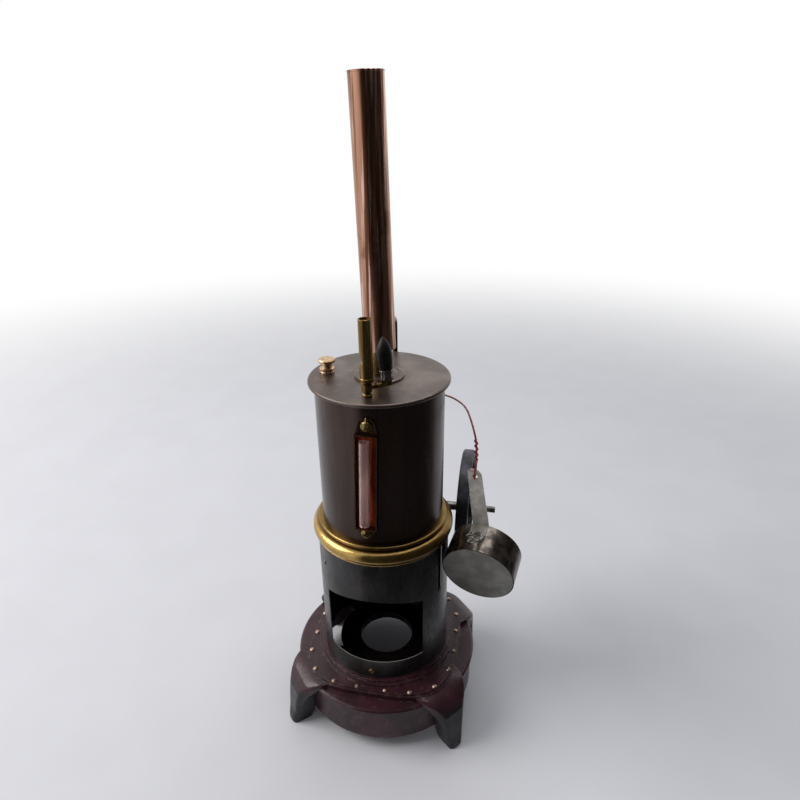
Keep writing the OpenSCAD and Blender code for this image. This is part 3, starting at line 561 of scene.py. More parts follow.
def tin_sheet(colours):
    """Tinplate of the burner: dull grey on its face, and a smoother wall painted dark and mottled brown as a
    painted dark reflection.
    """
    f = Finish("tinplate", metallic=0.9, roughness=0.34)
    base = Vector(colours.tin)
    stain = f.noise(9 * MM, detail=6, shift=8)
    fine = f.noise(0.9 * MM, detail=4)
    face = f.mix(f.span(stain, 0.36, 0.66), base * 0.72, base)
    face = f.mix(f.span(fine, 0.55, 0.75, 0, 0.3), face, base * 1.2)
    local = f.add("ShaderNodeMapping", {"Vector": f.place, "Location": BURNER.translation,
                                        "Rotation": BURNER.to_euler()}, vector_type="TEXTURE").outputs[0]
    across, _, up = f.add("ShaderNodeSeparateXYZ", {0: local}).outputs
    across = f.math("SUBTRACT", across, BURNER_OFF_X)
    up = f.math("ADD", up, BURNER_HANDLE_L + BURNER_R)
    out = f.math("SQRT", f.math("ADD", f.both(across, across), f.both(up, up)))
    wall = f.span(out, BURNER_R - 0.9 * MM, BURNER_R - 0.3 * MM)
    # The wall is painted dark grey-brown: a painted dark reflection of the surroundings.
    dark = f.mix(f.span(f.noise(6 * MM, detail=5, shift=3), 0.38, 0.62), shade("#3a3330"), shade("#6b635c"))
    f.colour(f.mix(wall, face, dark))
    f.roughness(f.span(wall, 0, 1, 0.4, 0.2))
    return f.relief(f.math("ADD", f.both(fine, 0.3), stain), 0.1 * MM, 0.3 * MM)


def black_wood():
    """Black stained wood, with a soft sheen and fine grain along the handle."""
    f = Finish("black_wood", roughness=0.5, specular=0.22)
    grain = f.noise(0.7 * MM, detail=5, stretch=(1, 1, 0.12), distortion=0.4)
    cloud = f.noise(6 * MM, detail=4)
    f.colour(f.mix(f.span(grain, 0.4, 0.65), shade("#090606"), shade("#191212")))
    f.roughness(f.span(cloud, 0.3, 0.7, 0.58, 0.42))
    return f.relief(grain, 0.05 * MM)


def gauge_copper():
    """Dark brown sheet, with bright red copper inside the trough behind the glass."""
    f = Finish("gauge_copper", metallic=1.0, roughness=0.3)
    x, _, z = f.split()
    up = f.math("SUBTRACT", z, GAUGE_Z)
    across = f.math("ABSOLUTE", f.math("SUBTRACT", x, f.both(up, math.sin(math.radians(GAUGE_LEAN)))))
    inside = f.both(f.span(across, GAUGE_HALF_W - 1 * MM, GAUGE_HALF_W - 0.8 * MM, 1, 0),
                    f.span(f.math("ABSOLUTE", up), GAUGE_HALF_L - 1 * MM, GAUGE_HALF_L - 0.8 * MM, 1, 0))
    streak = f.noise(3 * MM, detail=5, stretch=(1, 1, 0.08))
    brown = f.mix(f.span(streak, 0.35, 0.65), shade("#3a2a22"), shade("#7c604c"))
    red = f.mix(f.span(streak, 0.35, 0.65), shade("#6f2a1a"), shade("#b4563c"))
    edge = f.edges(0.3 * MM, 0.1, 0.5)
    f.colour(f.mix(f.both(edge, 0.6), f.mix(inside, brown, red), shade("#b99a86")))
    f.roughness(f.span(streak, 0.3, 0.7, 0.4, 0.24))
    return f.relief(streak, 0.08 * MM)


def gauge_glass():
    """Old glass with a chalky bloom inside."""
    f = Finish("gauge_glass", roughness=0.06, transmission=0.86, ior=1.47)
    bloom = f.noise(9 * MM, detail=5, stretch=(1, 1, 0.35))
    f.colour(f.mix(f.span(bloom, 0.35, 0.7), shade("#f2dcd5"), shade("#cdb0aa")))
    f.roughness(f.span(bloom, 0.4, 0.7, 0.04, 0.16))
    return f.relief(bloom, 0.05 * MM)


def solder_grey():
    """Lumpy soft solder with a dark flux stain."""
    f = Finish("solder", metallic=0.9, roughness=0.36)
    lumps = f.noise(1.6 * MM, detail=5)
    f.colour(f.mix(f.span(lumps, 0.38, 0.62), shade("#5f5c57"), shade("#8f8c85")))
    f.roughness(f.span(lumps, 0.3, 0.7, 0.5, 0.25))
    return f.relief(lumps, 0.1 * MM)


def wire_coat(colours):
    """Red plastic coat, dirty in places."""
    f = Finish("red_wire", roughness=0.38)
    base = Vector(colours.wire)
    dirt = f.noise(2.4 * MM, detail=5)
    f.colour(f.mix(f.span(dirt, 0.45, 0.68), base * 1.2, base * 0.35))
    f.roughness(f.span(dirt, 0.3, 0.7, 0.3, 0.55))
    return f.relief(dirt, 0.06 * MM)


FINISHES = {
    "maroon_cast_iron": cast_enamel,
    "dark_cast_iron": lambda colours: cast_enamel(colours, "dark_cast_iron", feet=True),
    "firebox_sheet": firebox_sheet,
    "boiler_metal": boiler_patina,
    "plate_metal": plate_patina,
    "ring_brass": ring_brass,
    "chimney_copper": lambda colours: streaked_copper(
        "chimney_copper", Vector(colours.copper), shade("#63402f"), shade("#dcb8a8")),
    "pipe_copper": lambda colours: streaked_copper(
        "pipe_copper", shade("#6e4f35"), shade("#33231a"), shade("#a07a58")),
    "gauge_copper": lambda colours: gauge_copper(),
    "tarnished_brass": lambda colours: aged_brass("tarnished_brass", shade("#94804f"), shade("#33260f")),
    "rivet_copper": lambda colours: aged_brass(
        "rivet_copper", shade("#a98f84"), shade("#5c4139"), 0.42, 0.25),
    "bright_brass": lambda colours: aged_brass(
        "bright_brass", shade("#c9ab88"), shade("#6a5230"), 0.28, 0.12),
    "whistle_brass": lambda colours: streaked_copper(
        "whistle_brass", shade("#856d40"), shade("#57431f"), shade("#b3976c")),
    "nickel": lambda colours: aged_brass("nickel", shade("#7d7671"), shade("#3a3331"), 0.24, 0.3),
    "black_wood": lambda colours: black_wood(),
    "gauge_glass": lambda colours: gauge_glass(),
    "engine_iron": lambda colours: dull_steel("engine_iron", shade("#54504e"), shade("#2a2726"), 0.45, 0.7),
    "steel": lambda colours: dull_steel("steel", shade("#7d7975"), shade("#3c3836"), 0.34),
    "wheel_iron": wheel_enamel,
    "tinplate": tin_sheet,
    "handle_tin": lambda colours: dull_steel("handle_tin", shade("#d2ccc0"), shade("#aaa49b"), 0.5, 0),
    "red_wire": wire_coat,
    "solder": lambda colours: solder_grey(),
}


def finish(name):
    """The named material, made on first use."""
    made = bpy.data.materials.get(name)
    if made is None or made.get("engine_finish") != name:
        made = FINISHES[name](bpy.context.scene.engine_colours)
        made["engine_finish"] = name
    return made


def coat(*nodes, material=None):
    """Gives CAD nodes the finish of their slots, or the named one."""
    for node in nodes:
        if not NODES[node].material_slots:
            raise RuntimeError(f"{node} has no material slot")
        for place in NODES[node].material_slots:
            place.material = finish(material or SLOTS[node])


# Making meshes

def new_piece(name, bm, material, body="root", sharp=32):
    """Turns bm into a piece that rides on a body."""
    bmesh.ops.recalc_face_normals(bm, faces=bm.faces)
    mesh = bpy.data.meshes.new(name)
    bm.to_mesh(mesh)
    bm.free()
    mesh.shade_smooth()
    mesh.set_sharp_from_angle(angle=math.radians(sharp))
    mesh.materials.append(finish(material))
    piece = bpy.data.objects.new(name, mesh)
    bpy.context.scene.collection.objects.link(piece)
    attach(piece, body)
    return piece


def lathe(bm, profile, place, steps=24):
    """Turns a profile of (radius, height) round its Z axis. Points with radius 0 close it."""
    rows = []
    for r, z in profile:
        if r == 0:
            rows.append([bm.verts.new(place @ Vector((0, 0, z)))])
        else:
            rows.append([bm.verts.new(place @ Vector((r * math.cos(a), r * math.sin(a), z)))
                         for a in (2 * math.pi * i / steps for i in range(steps))])
    for low, high in zip(rows, rows[1:]):
        for i in range(steps):
            j = (i + 1) % steps
            if len(low) == 1:
                bm.faces.new((low[0], high[i], high[j]))
            elif len(high) == 1:
                bm.faces.new((low[i], low[j], high[0]))
            else:
                bm.faces.new((low[i], low[j], high[j], high[i]))


def closed_lathe(bm, profile, place, steps=24):
    """Turns a section that closes on itself."""
    lathe(bm, [*profile, profile[0]], place, steps)
    bmesh.ops.remove_doubles(bm, verts=bm.verts, dist=0.002 * MM)


def skin(bm, rings):
    """Faces between each ring of points and the next."""
    for low, high in zip(rings, rings[1:]):
        for i in range(len(low)):
            j = (i + 1) % len(low)
            bm.faces.new((low[i], low[j], high[j], high[i]))


def arc(x, z, r, start, end, steps=12):
    """Points of an arc round (x, z), with its angles counted from outwards to upwards."""
    angles = [math.radians(start + (end - start) * i / steps) for i in range(steps + 1)]
    return [(x + r * math.cos(a), z + r * math.sin(a)) for a in angles]


def along(table, x):
    """The value at x in a table of (x, value), in straight stretches."""
    for (x1, y1), (x2, y2) in zip(table, table[1:]):
        if x <= x2:
            return y1 + (y2 - y1) * (x - x1) / (x2 - x1)
    return table[-1][1]


def rivet(bm, place, r, h):
    """A domed rivet head with a small foot."""
    lathe(bm, [(0, -0.4 * h), (r, -0.4 * h), (r * 1.02, 0.05 * h), (r * 0.94, 0.35 * h), (r * 0.76, 0.66 * h),
               (r * 0.48, 0.9 * h), (r * 0.2, h), (0, h)], place, steps=18)


def nut(bm, place, r, h):
    """A hexagonal nut with turned corners and a domed stud end."""
    stud_r = r * 0.5
    lathe(bm, [(0, 0), (r * 0.96, 0), (r, h * 0.12), (r, h * 0.8), (r * 0.86, h), (stud_r, h)],
          place, steps=6)
    lathe(bm, [(0, h * 0.5), (stud_r, h * 0.5), (stud_r, h * 1.18), (r * 0.4, h * 1.3), (0, h * 1.32)],
          place, steps=16)


def slotted_head(bm, place, r, h, width=0.24, depth=0.5):
    """A screw head with a cut slot: a disc with two half rounds on it."""
    low = h * (1 - depth)
    lathe(bm, [(0, 0), (r, 0), (r, low), (0, low)], place, steps=28)
    half = r * width
    opening = math.asin(width)
    steps = 14
    angles = [opening + (math.pi - 2 * opening) * i / steps for i in range(steps + 1)]
    for side in (1, -1):
        rings = []
        for scale, z in ((1, low), (1, h * 0.86), (0.86, h)):
            rings.append([bm.verts.new(place @ Vector((
                scale * r * math.cos(a), side * max(half, scale * r * math.sin(a)), z))) for a in angles])
        skin(bm, rings)
        bm.faces.new(rings[-1])


def block(bm, place, size):
    """A box with bevelled edges."""
    made = bmesh.ops.create_cube(bm, size=1, matrix=place @ Matrix.Diagonal((*size, 1)))
    edges = {e for v in made["verts"] for e in v.link_edges}
    bmesh.ops.bevel(bm, geom=list(edges), offset=min(size) * 0.15, segments=2, affect="EDGES")


def smooth_route(points, per_span=10):
    """Points on one smooth curve through the given ones."""
    ends = [points[0] * 2 - points[1], *points, points[-1] * 2 - points[-2]]
    line = []
    for a, b, c, d in zip(ends, ends[1:], ends[2:], ends[3:]):
        for i in range(per_span):
            t = i / per_span
            line.append(0.5 * (2 * b + (c - a) * t + (2 * a - 5 * b + 4 * c - d) * t * t
                               + (3 * b - a - 3 * c + d) * t ** 3))
    return [*line, points[-1]]


def carried_sides(line):
    """A side and an up direction at each point of a line, carried along it without twist."""
    ahead = [(b - a).normalized() for a, b in zip(line, line[1:])]
    ahead.append(ahead[-1])
    side = ahead[0].orthogonal().normalized()
    sides = []
    for d in ahead:
        side = (side - d * side.dot(d)).normalized()
        sides.append((side, d.cross(side)))
    return sides


def sweep(bm, line, radius, steps=10):
    """A round bar along a line of points, with flat ends."""
    rows = []
    for point, (side, up) in zip(line, carried_sides(line)):
        rows.append([bm.verts.new(point + radius * (side * math.cos(a) + up * math.sin(a)))
                     for a in (2 * math.pi * k / steps for k in range(steps))])
    skin(bm, rows)
    bm.faces.new(rows[0])
    bm.faces.new(rows[-1])


def round_the_axis(angle, r, z, lift=0.0):
    """A place on an upright cylinder, angle degrees from the front to the right, with +Z outwards."""
    return turned("Z", angle) @ moved(0, -(r + lift), z) @ turned("X", 90)


# Operators

class EngineOperator:
    """What all operators of the engine share"""
    bl_options = {"REGISTER", "UNDO"}


class ENGINE_OT_stage(EngineOperator, bpy.types.Operator):
    """Set up the table top, the white surround, the lamps and the camera"""
    bl_idname = "engine.stage"
    bl_label = "Stage"

    FLOOR_R, FLOOR_SIDES = 2.6, 96
    FLOOR_CLOUDS = 0.06
    # Distances from the axis between which the floor fades to white
    PALE_FROM, PALE_TO = 0.55, 1.5
    SKY_COLOUR = (0.92, 0.95, 1, 1)
    # Distance from the axis and height of each bend of the dark cloth
    CLOTH_SECTION = ((0.13, 0.002), (0.34, 0.002), (0.34, 0.95))
    CURTAIN_FROM, CURTAIN_TO, CURTAIN_STEPS = -24, 116, 24
    CLOTH_COLOUR = shade("#3a3836")
    LAMP_AIM = Vector((0, 0, 0.17))
    KEY_AT, KEY_SIZE = (-1.25, -0.25, 1.15), 1.0
    TOP_AT, TOP_SIZE, TOP_SHARE, TOP_COLOUR = (0.1, 0.5, 1.7), 1.2, 0.5, (0.95, 0.97, 1)
    CAMERA_AT = (0.0776, -0.3310, 0.3887)
    CAMERA_TURN, CAMERA_TILT, CAMERA_ROLL = 11.118, 65.399, -0.741
    FOCAL_PIXELS, PICTURE_PIXELS = 603.07, 800
    SENSOR_WIDTH, CLIP_FROM = 36, 0.01

    def execute(self, context):
        settings = context.scene.engine_stage
        self.table_top(settings)
        self.surround(settings)
        self.dark_curtain()
        self.lamps(settings)
        self.camera()
        context.scene.view_settings.view_transform = "Standard"
        return {"FINISHED"}

    @staticmethod
    def seen_directly(nodes, links):
        """1 for camera, glossy and transmission rays."""
        path = nodes.new("ShaderNodeLightPath")
        total = path.outputs["Is Camera Ray"]
        for name in ("Is Glossy Ray", "Is Transmission Ray"):
            most = nodes.new("ShaderNodeMath")
            most.operation = "MAXIMUM"
            links.new(total, most.inputs[0])
            links.new(path.outputs[name], most.inputs[1])
            total = most.outputs[0]
        return total

    def table_top(self, settings):
        """A pale disc that fades to white towards its edge."""
        bm = bmesh.new()
        bmesh.ops.create_circle(bm, cap_ends=True, segments=self.FLOOR_SIDES, radius=self.FLOOR_R)
        mesh = bpy.data.meshes.new("table_top")
        bm.to_mesh(mesh)
        bm.free()
        f = Finish("table_top", roughness=0.8, specular=0)
        cloud = f.noise(self.FLOOR_CLOUDS, detail=5)
        f.colour(f.mix(f.span(cloud, 0.3, 0.7), Vector(settings.floor) * 0.97, Vector(settings.floor)))
        white = f.add("ShaderNodeEmission", {"Color": (1, 1, 1), "Strength": 1.0})
        share = f.both(f.span(f.radius(), self.PALE_FROM, self.PALE_TO),
                       self.seen_directly(f.nodes, f.links))
        blend = f.add("ShaderNodeMixShader", {0: share, 1: f.shader.outputs[0], 2: white.outputs[0]})
        f.links.new(blend.outputs[0], f.nodes["Material Output"].inputs["Surface"])
        mesh.materials.append(f.material)
        floor = bpy.data.objects.new("table_top", mesh)
        bpy.context.scene.collection.objects.link(floor)

    def surround(self, settings):
        """White to the eye and in reflections, and a soft even light otherwise."""
        world = bpy.data.worlds.new("surround")
        bpy.context.scene.world = world
        world.use_nodes = True
        nodes, links = world.node_tree.nodes, world.node_tree.links
        nodes.clear()
        white, soft = nodes.new("ShaderNodeBackground"), nodes.new("ShaderNodeBackground")
        white.inputs["Color"].default_value = (1, 1, 1, 1)
        soft.inputs["Color"].default_value = self.SKY_COLOUR
        soft.inputs["Strength"].default_value = settings.sky_level
        blend, out = nodes.new("ShaderNodeMixShader"), nodes.new("ShaderNodeOutputWorld")
        links.new(self.seen_directly(nodes, links), blend.inputs[0])
        links.new(soft.outputs[0], blend.inputs[1])
        links.new(white.outputs[0], blend.inputs[2])
        links.new(blend.outputs[0], out.inputs[0])

    def dark_curtain(self):
        """A dark cloth at the front and right, on the table and hung up, which only gloss reflects."""
        bm = bmesh.new()
        columns = []
        width = self.CURTAIN_TO - self.CURTAIN_FROM
        for i in range(self.CURTAIN_STEPS + 1):
            a = math.radians(self.CURTAIN_FROM + width * i / self.CURTAIN_STEPS)
            columns.append([bm.verts.new((r * math.sin(a), -r * math.cos(a), z))
                            for r, z in self.CLOTH_SECTION])
        for a, b in zip(columns, columns[1:]):
            for i in range(len(self.CLOTH_SECTION) - 1):
                bm.faces.new((a[i], b[i], b[i + 1], a[i + 1]))
        mesh = bpy.data.meshes.new("dark_curtain")
        bm.to_mesh(mesh)
        bm.free()
        f = Finish("dark_cloth", roughness=0.9)
        f.colour(self.CLOTH_COLOUR)
        mesh.materials.append(f.material)
        curtain = bpy.data.objects.new("dark_curtain", mesh)
        bpy.context.scene.collection.objects.link(curtain)
        for ray in ("camera", "diffuse", "transmission", "volume_scatter", "shadow"):
            setattr(curtain, "visible_" + ray, False)

    def lamp(self, name, at, size, power, colour=(1, 1, 1)):
        """A square lamp that points at the engine's middle."""
        data = bpy.data.lights.new(name, "AREA")
        data.energy, data.size, data.color = power, size, colour
        lamp = bpy.data.objects.new(name, data)
        lamp.location = at
        lamp.rotation_euler = (self.LAMP_AIM - Vector(at)).to_track_quat("-Z", "Y").to_euler()
        bpy.context.scene.collection.objects.link(lamp)

    def lamps(self, settings):
        self.lamp("key_lamp", self.KEY_AT, self.KEY_SIZE, settings.key_power)
        top_power = settings.key_power * self.TOP_SHARE
        self.lamp("top_lamp", self.TOP_AT, self.TOP_SIZE, top_power, self.TOP_COLOUR)

    def camera(self):
        data = bpy.data.cameras.new("camera")
        data.sensor_width = self.SENSOR_WIDTH
        data.lens = data.sensor_width * self.FOCAL_PIXELS / self.PICTURE_PIXELS
        data.clip_start = self.CLIP_FROM
        camera = bpy.data.objects.new("camera", data)
        camera.matrix_world = (Matrix.Translation(self.CAMERA_AT) @ turned("Z", self.CAMERA_TURN)
                               @ turned("X", self.CAMERA_TILT) @ turned("Z", self.CAMERA_ROLL))
        bpy.context.scene.collection.objects.link(camera)
        bpy.context.scene.camera = camera


class ENGINE_OT_base(EngineOperator, bpy.types.Operator):
    """Enamel the cast base and its feet, and set the copper rivets along the deck"""
    bl_idname = "engine.base"
    bl_label = "Base"

    FOOT_LEVELS, FOOT_POINTS = 60, 120
    # Heights in millimetres and how sharp the corners are there in plan
    CORNER_POWER = ((0, 18), (28, 18), (38, 9), (40.8, 8))

    # Places of the rivets along one side of the deck, from its middle
    SIDE_PLACES = (-26.3 * MM, -9.7 * MM, 9.7 * MM, 26.3 * MM)
    # Hand work: most lean in degrees, and the smallest and largest share of the radius
    RIVET_SEED, RIVET_LEAN, RIVET_LEAST, RIVET_MOST = 3, 5, 0.88, 1.06

    def execute(self, context):
        sizes = context.scene.engine_sizes
        coat("base_casting")
        for node, turn in (("foot_front_right", -FOOT_TURN), ("foot_rear_right", FOOT_TURN),
                           ("foot_rear_left", 180 - FOOT_TURN), ("foot_front_left", 180 + FOOT_TURN)):
            self.bracket_foot(node, turn)
        bm = bmesh.new()
        chance = random.Random(self.RIVET_SEED)
        lean = self.RIVET_LEAN
        half, n = sizes.deck_half - sizes.rivet_margin, sizes.deck_square
        corner = half * 0.5 ** (1 / n)
        for side in range(4):
            spots = [(x, -half * (1 - (abs(x) / half) ** n) ** (1 / n)) for x in self.SIDE_PLACES]
            for x, y in [*spots, (corner, -corner)]:
                tilt = turned("X", chance.uniform(-lean, lean)) @ turned("Y", chance.uniform(-lean, lean))
                r = sizes.rivet_radius * chance.uniform(self.RIVET_LEAST, self.RIVET_MOST)
                rivet(bm, turned("Z", 90 * side) @ moved(x, y, DECK_Z) @ tilt, r, sizes.rivet_height)
        new_piece("deck_rivets", bm, "rivet_copper", sharp=60)
        return {"FINISHED"}

    def bracket_foot(self, node, turn):
        """A foot as a stack of level sections, each bounded by straight sides with rounded corners."""
        ahead = Vector((math.cos(math.radians(turn)), math.sin(math.radians(turn))))
        across = Vector((-ahead.y, ahead.x))
        side_limit = min(FOOT_SIDE_LIMIT, CAD_BOX[1].x if ahead.x > 0 else -CAD_BOX[0].x)
        bm = bmesh.new()
        rows = []
        top = FOOT_SIDE[-1][0]
        for level in range(self.FOOT_LEVELS + 1):
            z = top * level / self.FOOT_LEVELS
            out, heel = TOE_R - along(FOOT_SIDE, z) * MM, along(FOOT_HEEL, z) * MM
            half_w = along(FOOT_HALF_W, z) * MM
            middle = ahead * (min(out, side_limit / abs(ahead.x)) + heel) / 2
            sides = [(ahead, out), (-ahead, -heel), (across, half_w), (-across, half_w),
                     (Vector((math.copysign(1, ahead.x), 0)), side_limit),
                     (Vector((0, math.copysign(1, ahead.y))), FOOT_FRONT_LIMIT)]
            power = along(self.CORNER_POWER, z)
            row = []
            for i in range(self.FOOT_POINTS):
                a = 2 * math.pi * i / self.FOOT_POINTS
                d = Vector((math.cos(a), math.sin(a)))
                near = sum(max(0.0, n.dot(d) / (limit - n.dot(middle))) ** power
                           for n, limit in sides)
                point = middle + d * near ** (-1 / power)
                row.append(bm.verts.new((point.x, point.y, z * MM)))
            rows.append(row)
        skin(bm, rows)
        bm.faces.new(rows[0])
        bm.faces.new(rows[-1])
        piece = new_piece("bracket_" + node, bm, "dark_cast_iron", sharp=40)
        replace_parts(piece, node)


class ENGINE_OT_firebox(EngineOperator, bpy.types.Operator):
    """Finish the firebox sheet, with its screws and the lapped seam at the back"""
    bl_idname = "engine.firebox"
    bl_label = "Firebox"

    SEAM_ANGLE = 152
    SEAM_W = 9 * MM
    SEAM_T = 0.6 * MM
    SEAM_STEPS = 8
    # How far over the deck the seam starts, and how far under the ring it ends
    SEAM_RISE, SEAM_GAP = 3.4 * MM, 0.2 * MM
    SEAM_RIVETS_Z = (52 * MM, 74 * MM, 96 * MM, 118 * MM, 134 * MM)
    SEAM_RIVET_R, SEAM_RIVET_H = 1.4 * MM, 0.8 * MM
    # A single rivet at the front left
    RIVET_ANGLE, RIVET_Z = -49.8, 125.9 * MM
    RIVET_R, RIVET_H = 1.3 * MM, 0.7 * MM
    # Angle of each screw round the axis, and the turn of its slot
    SCREWS = ((-0.7, 55), (180, 10))
    SCREW_Z, SCREW_R, SCREW_H, SCREW_SUNK = 50.4 * MM, 2 * MM, 1.3 * MM, 0.2 * MM

    def execute(self, context):
        coat("firebox_shell")
        bm = bmesh.new()
        for angle, slot_turn in self.SCREWS:
            place = round_the_axis(angle, FIREBOX_R, self.SCREW_Z, -self.SCREW_SUNK) @ turned("Z", slot_turn)
            slotted_head(bm, place, self.SCREW_R, self.SCREW_H)
        new_piece("firebox_screws", bm, "tarnished_brass")
        bm = bmesh.new()
        rivet(bm, round_the_axis(self.RIVET_ANGLE, FIREBOX_R, self.RIVET_Z), self.RIVET_R, self.RIVET_H)
        for z in self.SEAM_RIVETS_Z:
            place = round_the_axis(self.SEAM_ANGLE, FIREBOX_R, z, self.SEAM_T)
            rivet(bm, place, self.SEAM_RIVET_R, self.SEAM_RIVET_H)
        new_piece("firebox_rivets", bm, "steel", sharp=60)
        bm = bmesh.new()
        self.seam(bm)
        new_piece("firebox_seam", bm, "firebox_sheet")
        return {"FINISHED"}

    def seam(self, bm):
        """The overlapping edge of the rolled sheet."""
        z_low, z_high = DECK_Z + self.SEAM_RISE, RING_LOW.z - self.SEAM_GAP
        half = math.degrees(self.SEAM_W / 2 / FIREBOX_R)
        columns = []
        for i in range(self.SEAM_STEPS + 1):
            a = self.SEAM_ANGLE + half * (2 * i / self.SEAM_STEPS - 1)
            lift = 0 if i in (0, self.SEAM_STEPS) else self.SEAM_T
            row = [round_the_axis(a, FIREBOX_R, z, lift).translation for z in (z_low, z_high)]
            columns.append([bm.verts.new(p) for p in row])
        for a, b in zip(columns, columns[1:]):
            bm.faces.new((a[0], b[0], b[1], a[1]))
        bmesh.ops.contextual_create(bm, geom=[c[0] for c in columns])
        bmesh.ops.contextual_create(bm, geom=[c[1] for c in columns])


class ENGINE_OT_boiler(EngineOperator, bpy.types.Operator):
    """Finish the boiler, the brass ring and the top plate"""
    bl_idname = "engine.boiler"
    bl_label = "Boiler"

    # The ring's rounded edges, the step over its band and the groove under its bead
    EDGE, BAND_STEP, GROOVE = 0.3 * MM, 0.4 * MM, 0.2 * MM

    def execute(self, context):
        coat("boiler_shell", "boiler_bottom", "top_plate")
        swell_x = RING_R - RING_SWELL_R
        low = math.degrees(math.asin((RING_BAND_H - RING_SWELL_R) / RING_SWELL_R))
        edge, groove = self.EDGE, self.GROOVE
        section = [(FIREBOX_R, 0), (RING_BAND_R - edge, 0), (RING_BAND_R, edge),
                   (RING_BAND_R, RING_BAND_H - edge), (RING_BAND_R - self.BAND_STEP, RING_BAND_H),
                   *arc(swell_x, RING_SWELL_R, RING_SWELL_R, low, 80, 20),
                   (RING_BEAD_X + groove, 2 * RING_SWELL_R + groove),
                   *arc(RING_BEAD_X, RING_H - RING_BEAD_R, RING_BEAD_R, -70, 90),
                   (BOILER_R, RING_H), (BOILER_R, RING_SEAT_H), (FIREBOX_R, RING_SEAT_H)]
        bm = bmesh.new()
        closed_lathe(bm, section, moved(0, 0, RING_LOW.z), steps=160)
        ring = new_piece("turned_ring", bm, "ring_brass", sharp=50)
        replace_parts(ring, "brass_ring")
        return {"FINISHED"}


class ENGINE_OT_chimney(EngineOperator, bpy.types.Operator):
    """Finish the copper chimney, its collar and flange, and roll its mouth"""
    bl_idname = "engine.chimney"
    bl_label = "Chimney"

    # Thickness of the mouth's rolled lip
    LIP = 0.2 * MM

    def execute(self, context):
        coat("flue_tube", "chimney_collar")
        coat("chimney_flange", material="plate_metal")
        r, inner, top = CHIMNEY_R, CHIMNEY_R - CHIMNEY_WALL, CHIMNEY_L
        lip = self.LIP
        section = [(r, 0), (r, top - 5 * lip), (r + lip, top - 4 * lip), (r + lip, top - lip), (r, top),
                   (inner + lip, top), (inner, top - 2 * lip), (inner, 0)]
        bm = bmesh.new()
        closed_lathe(bm, section, moved(CHIMNEY_SHIFT, 0, CHIMNEY_Z) @ turned("Y", -CHIMNEY_LEAN), steps=96)
        tube = new_piece("streaked_chimney", bm, "chimney_copper")
        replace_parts(tube, "chimney_tube")
        return {"FINISHED"}


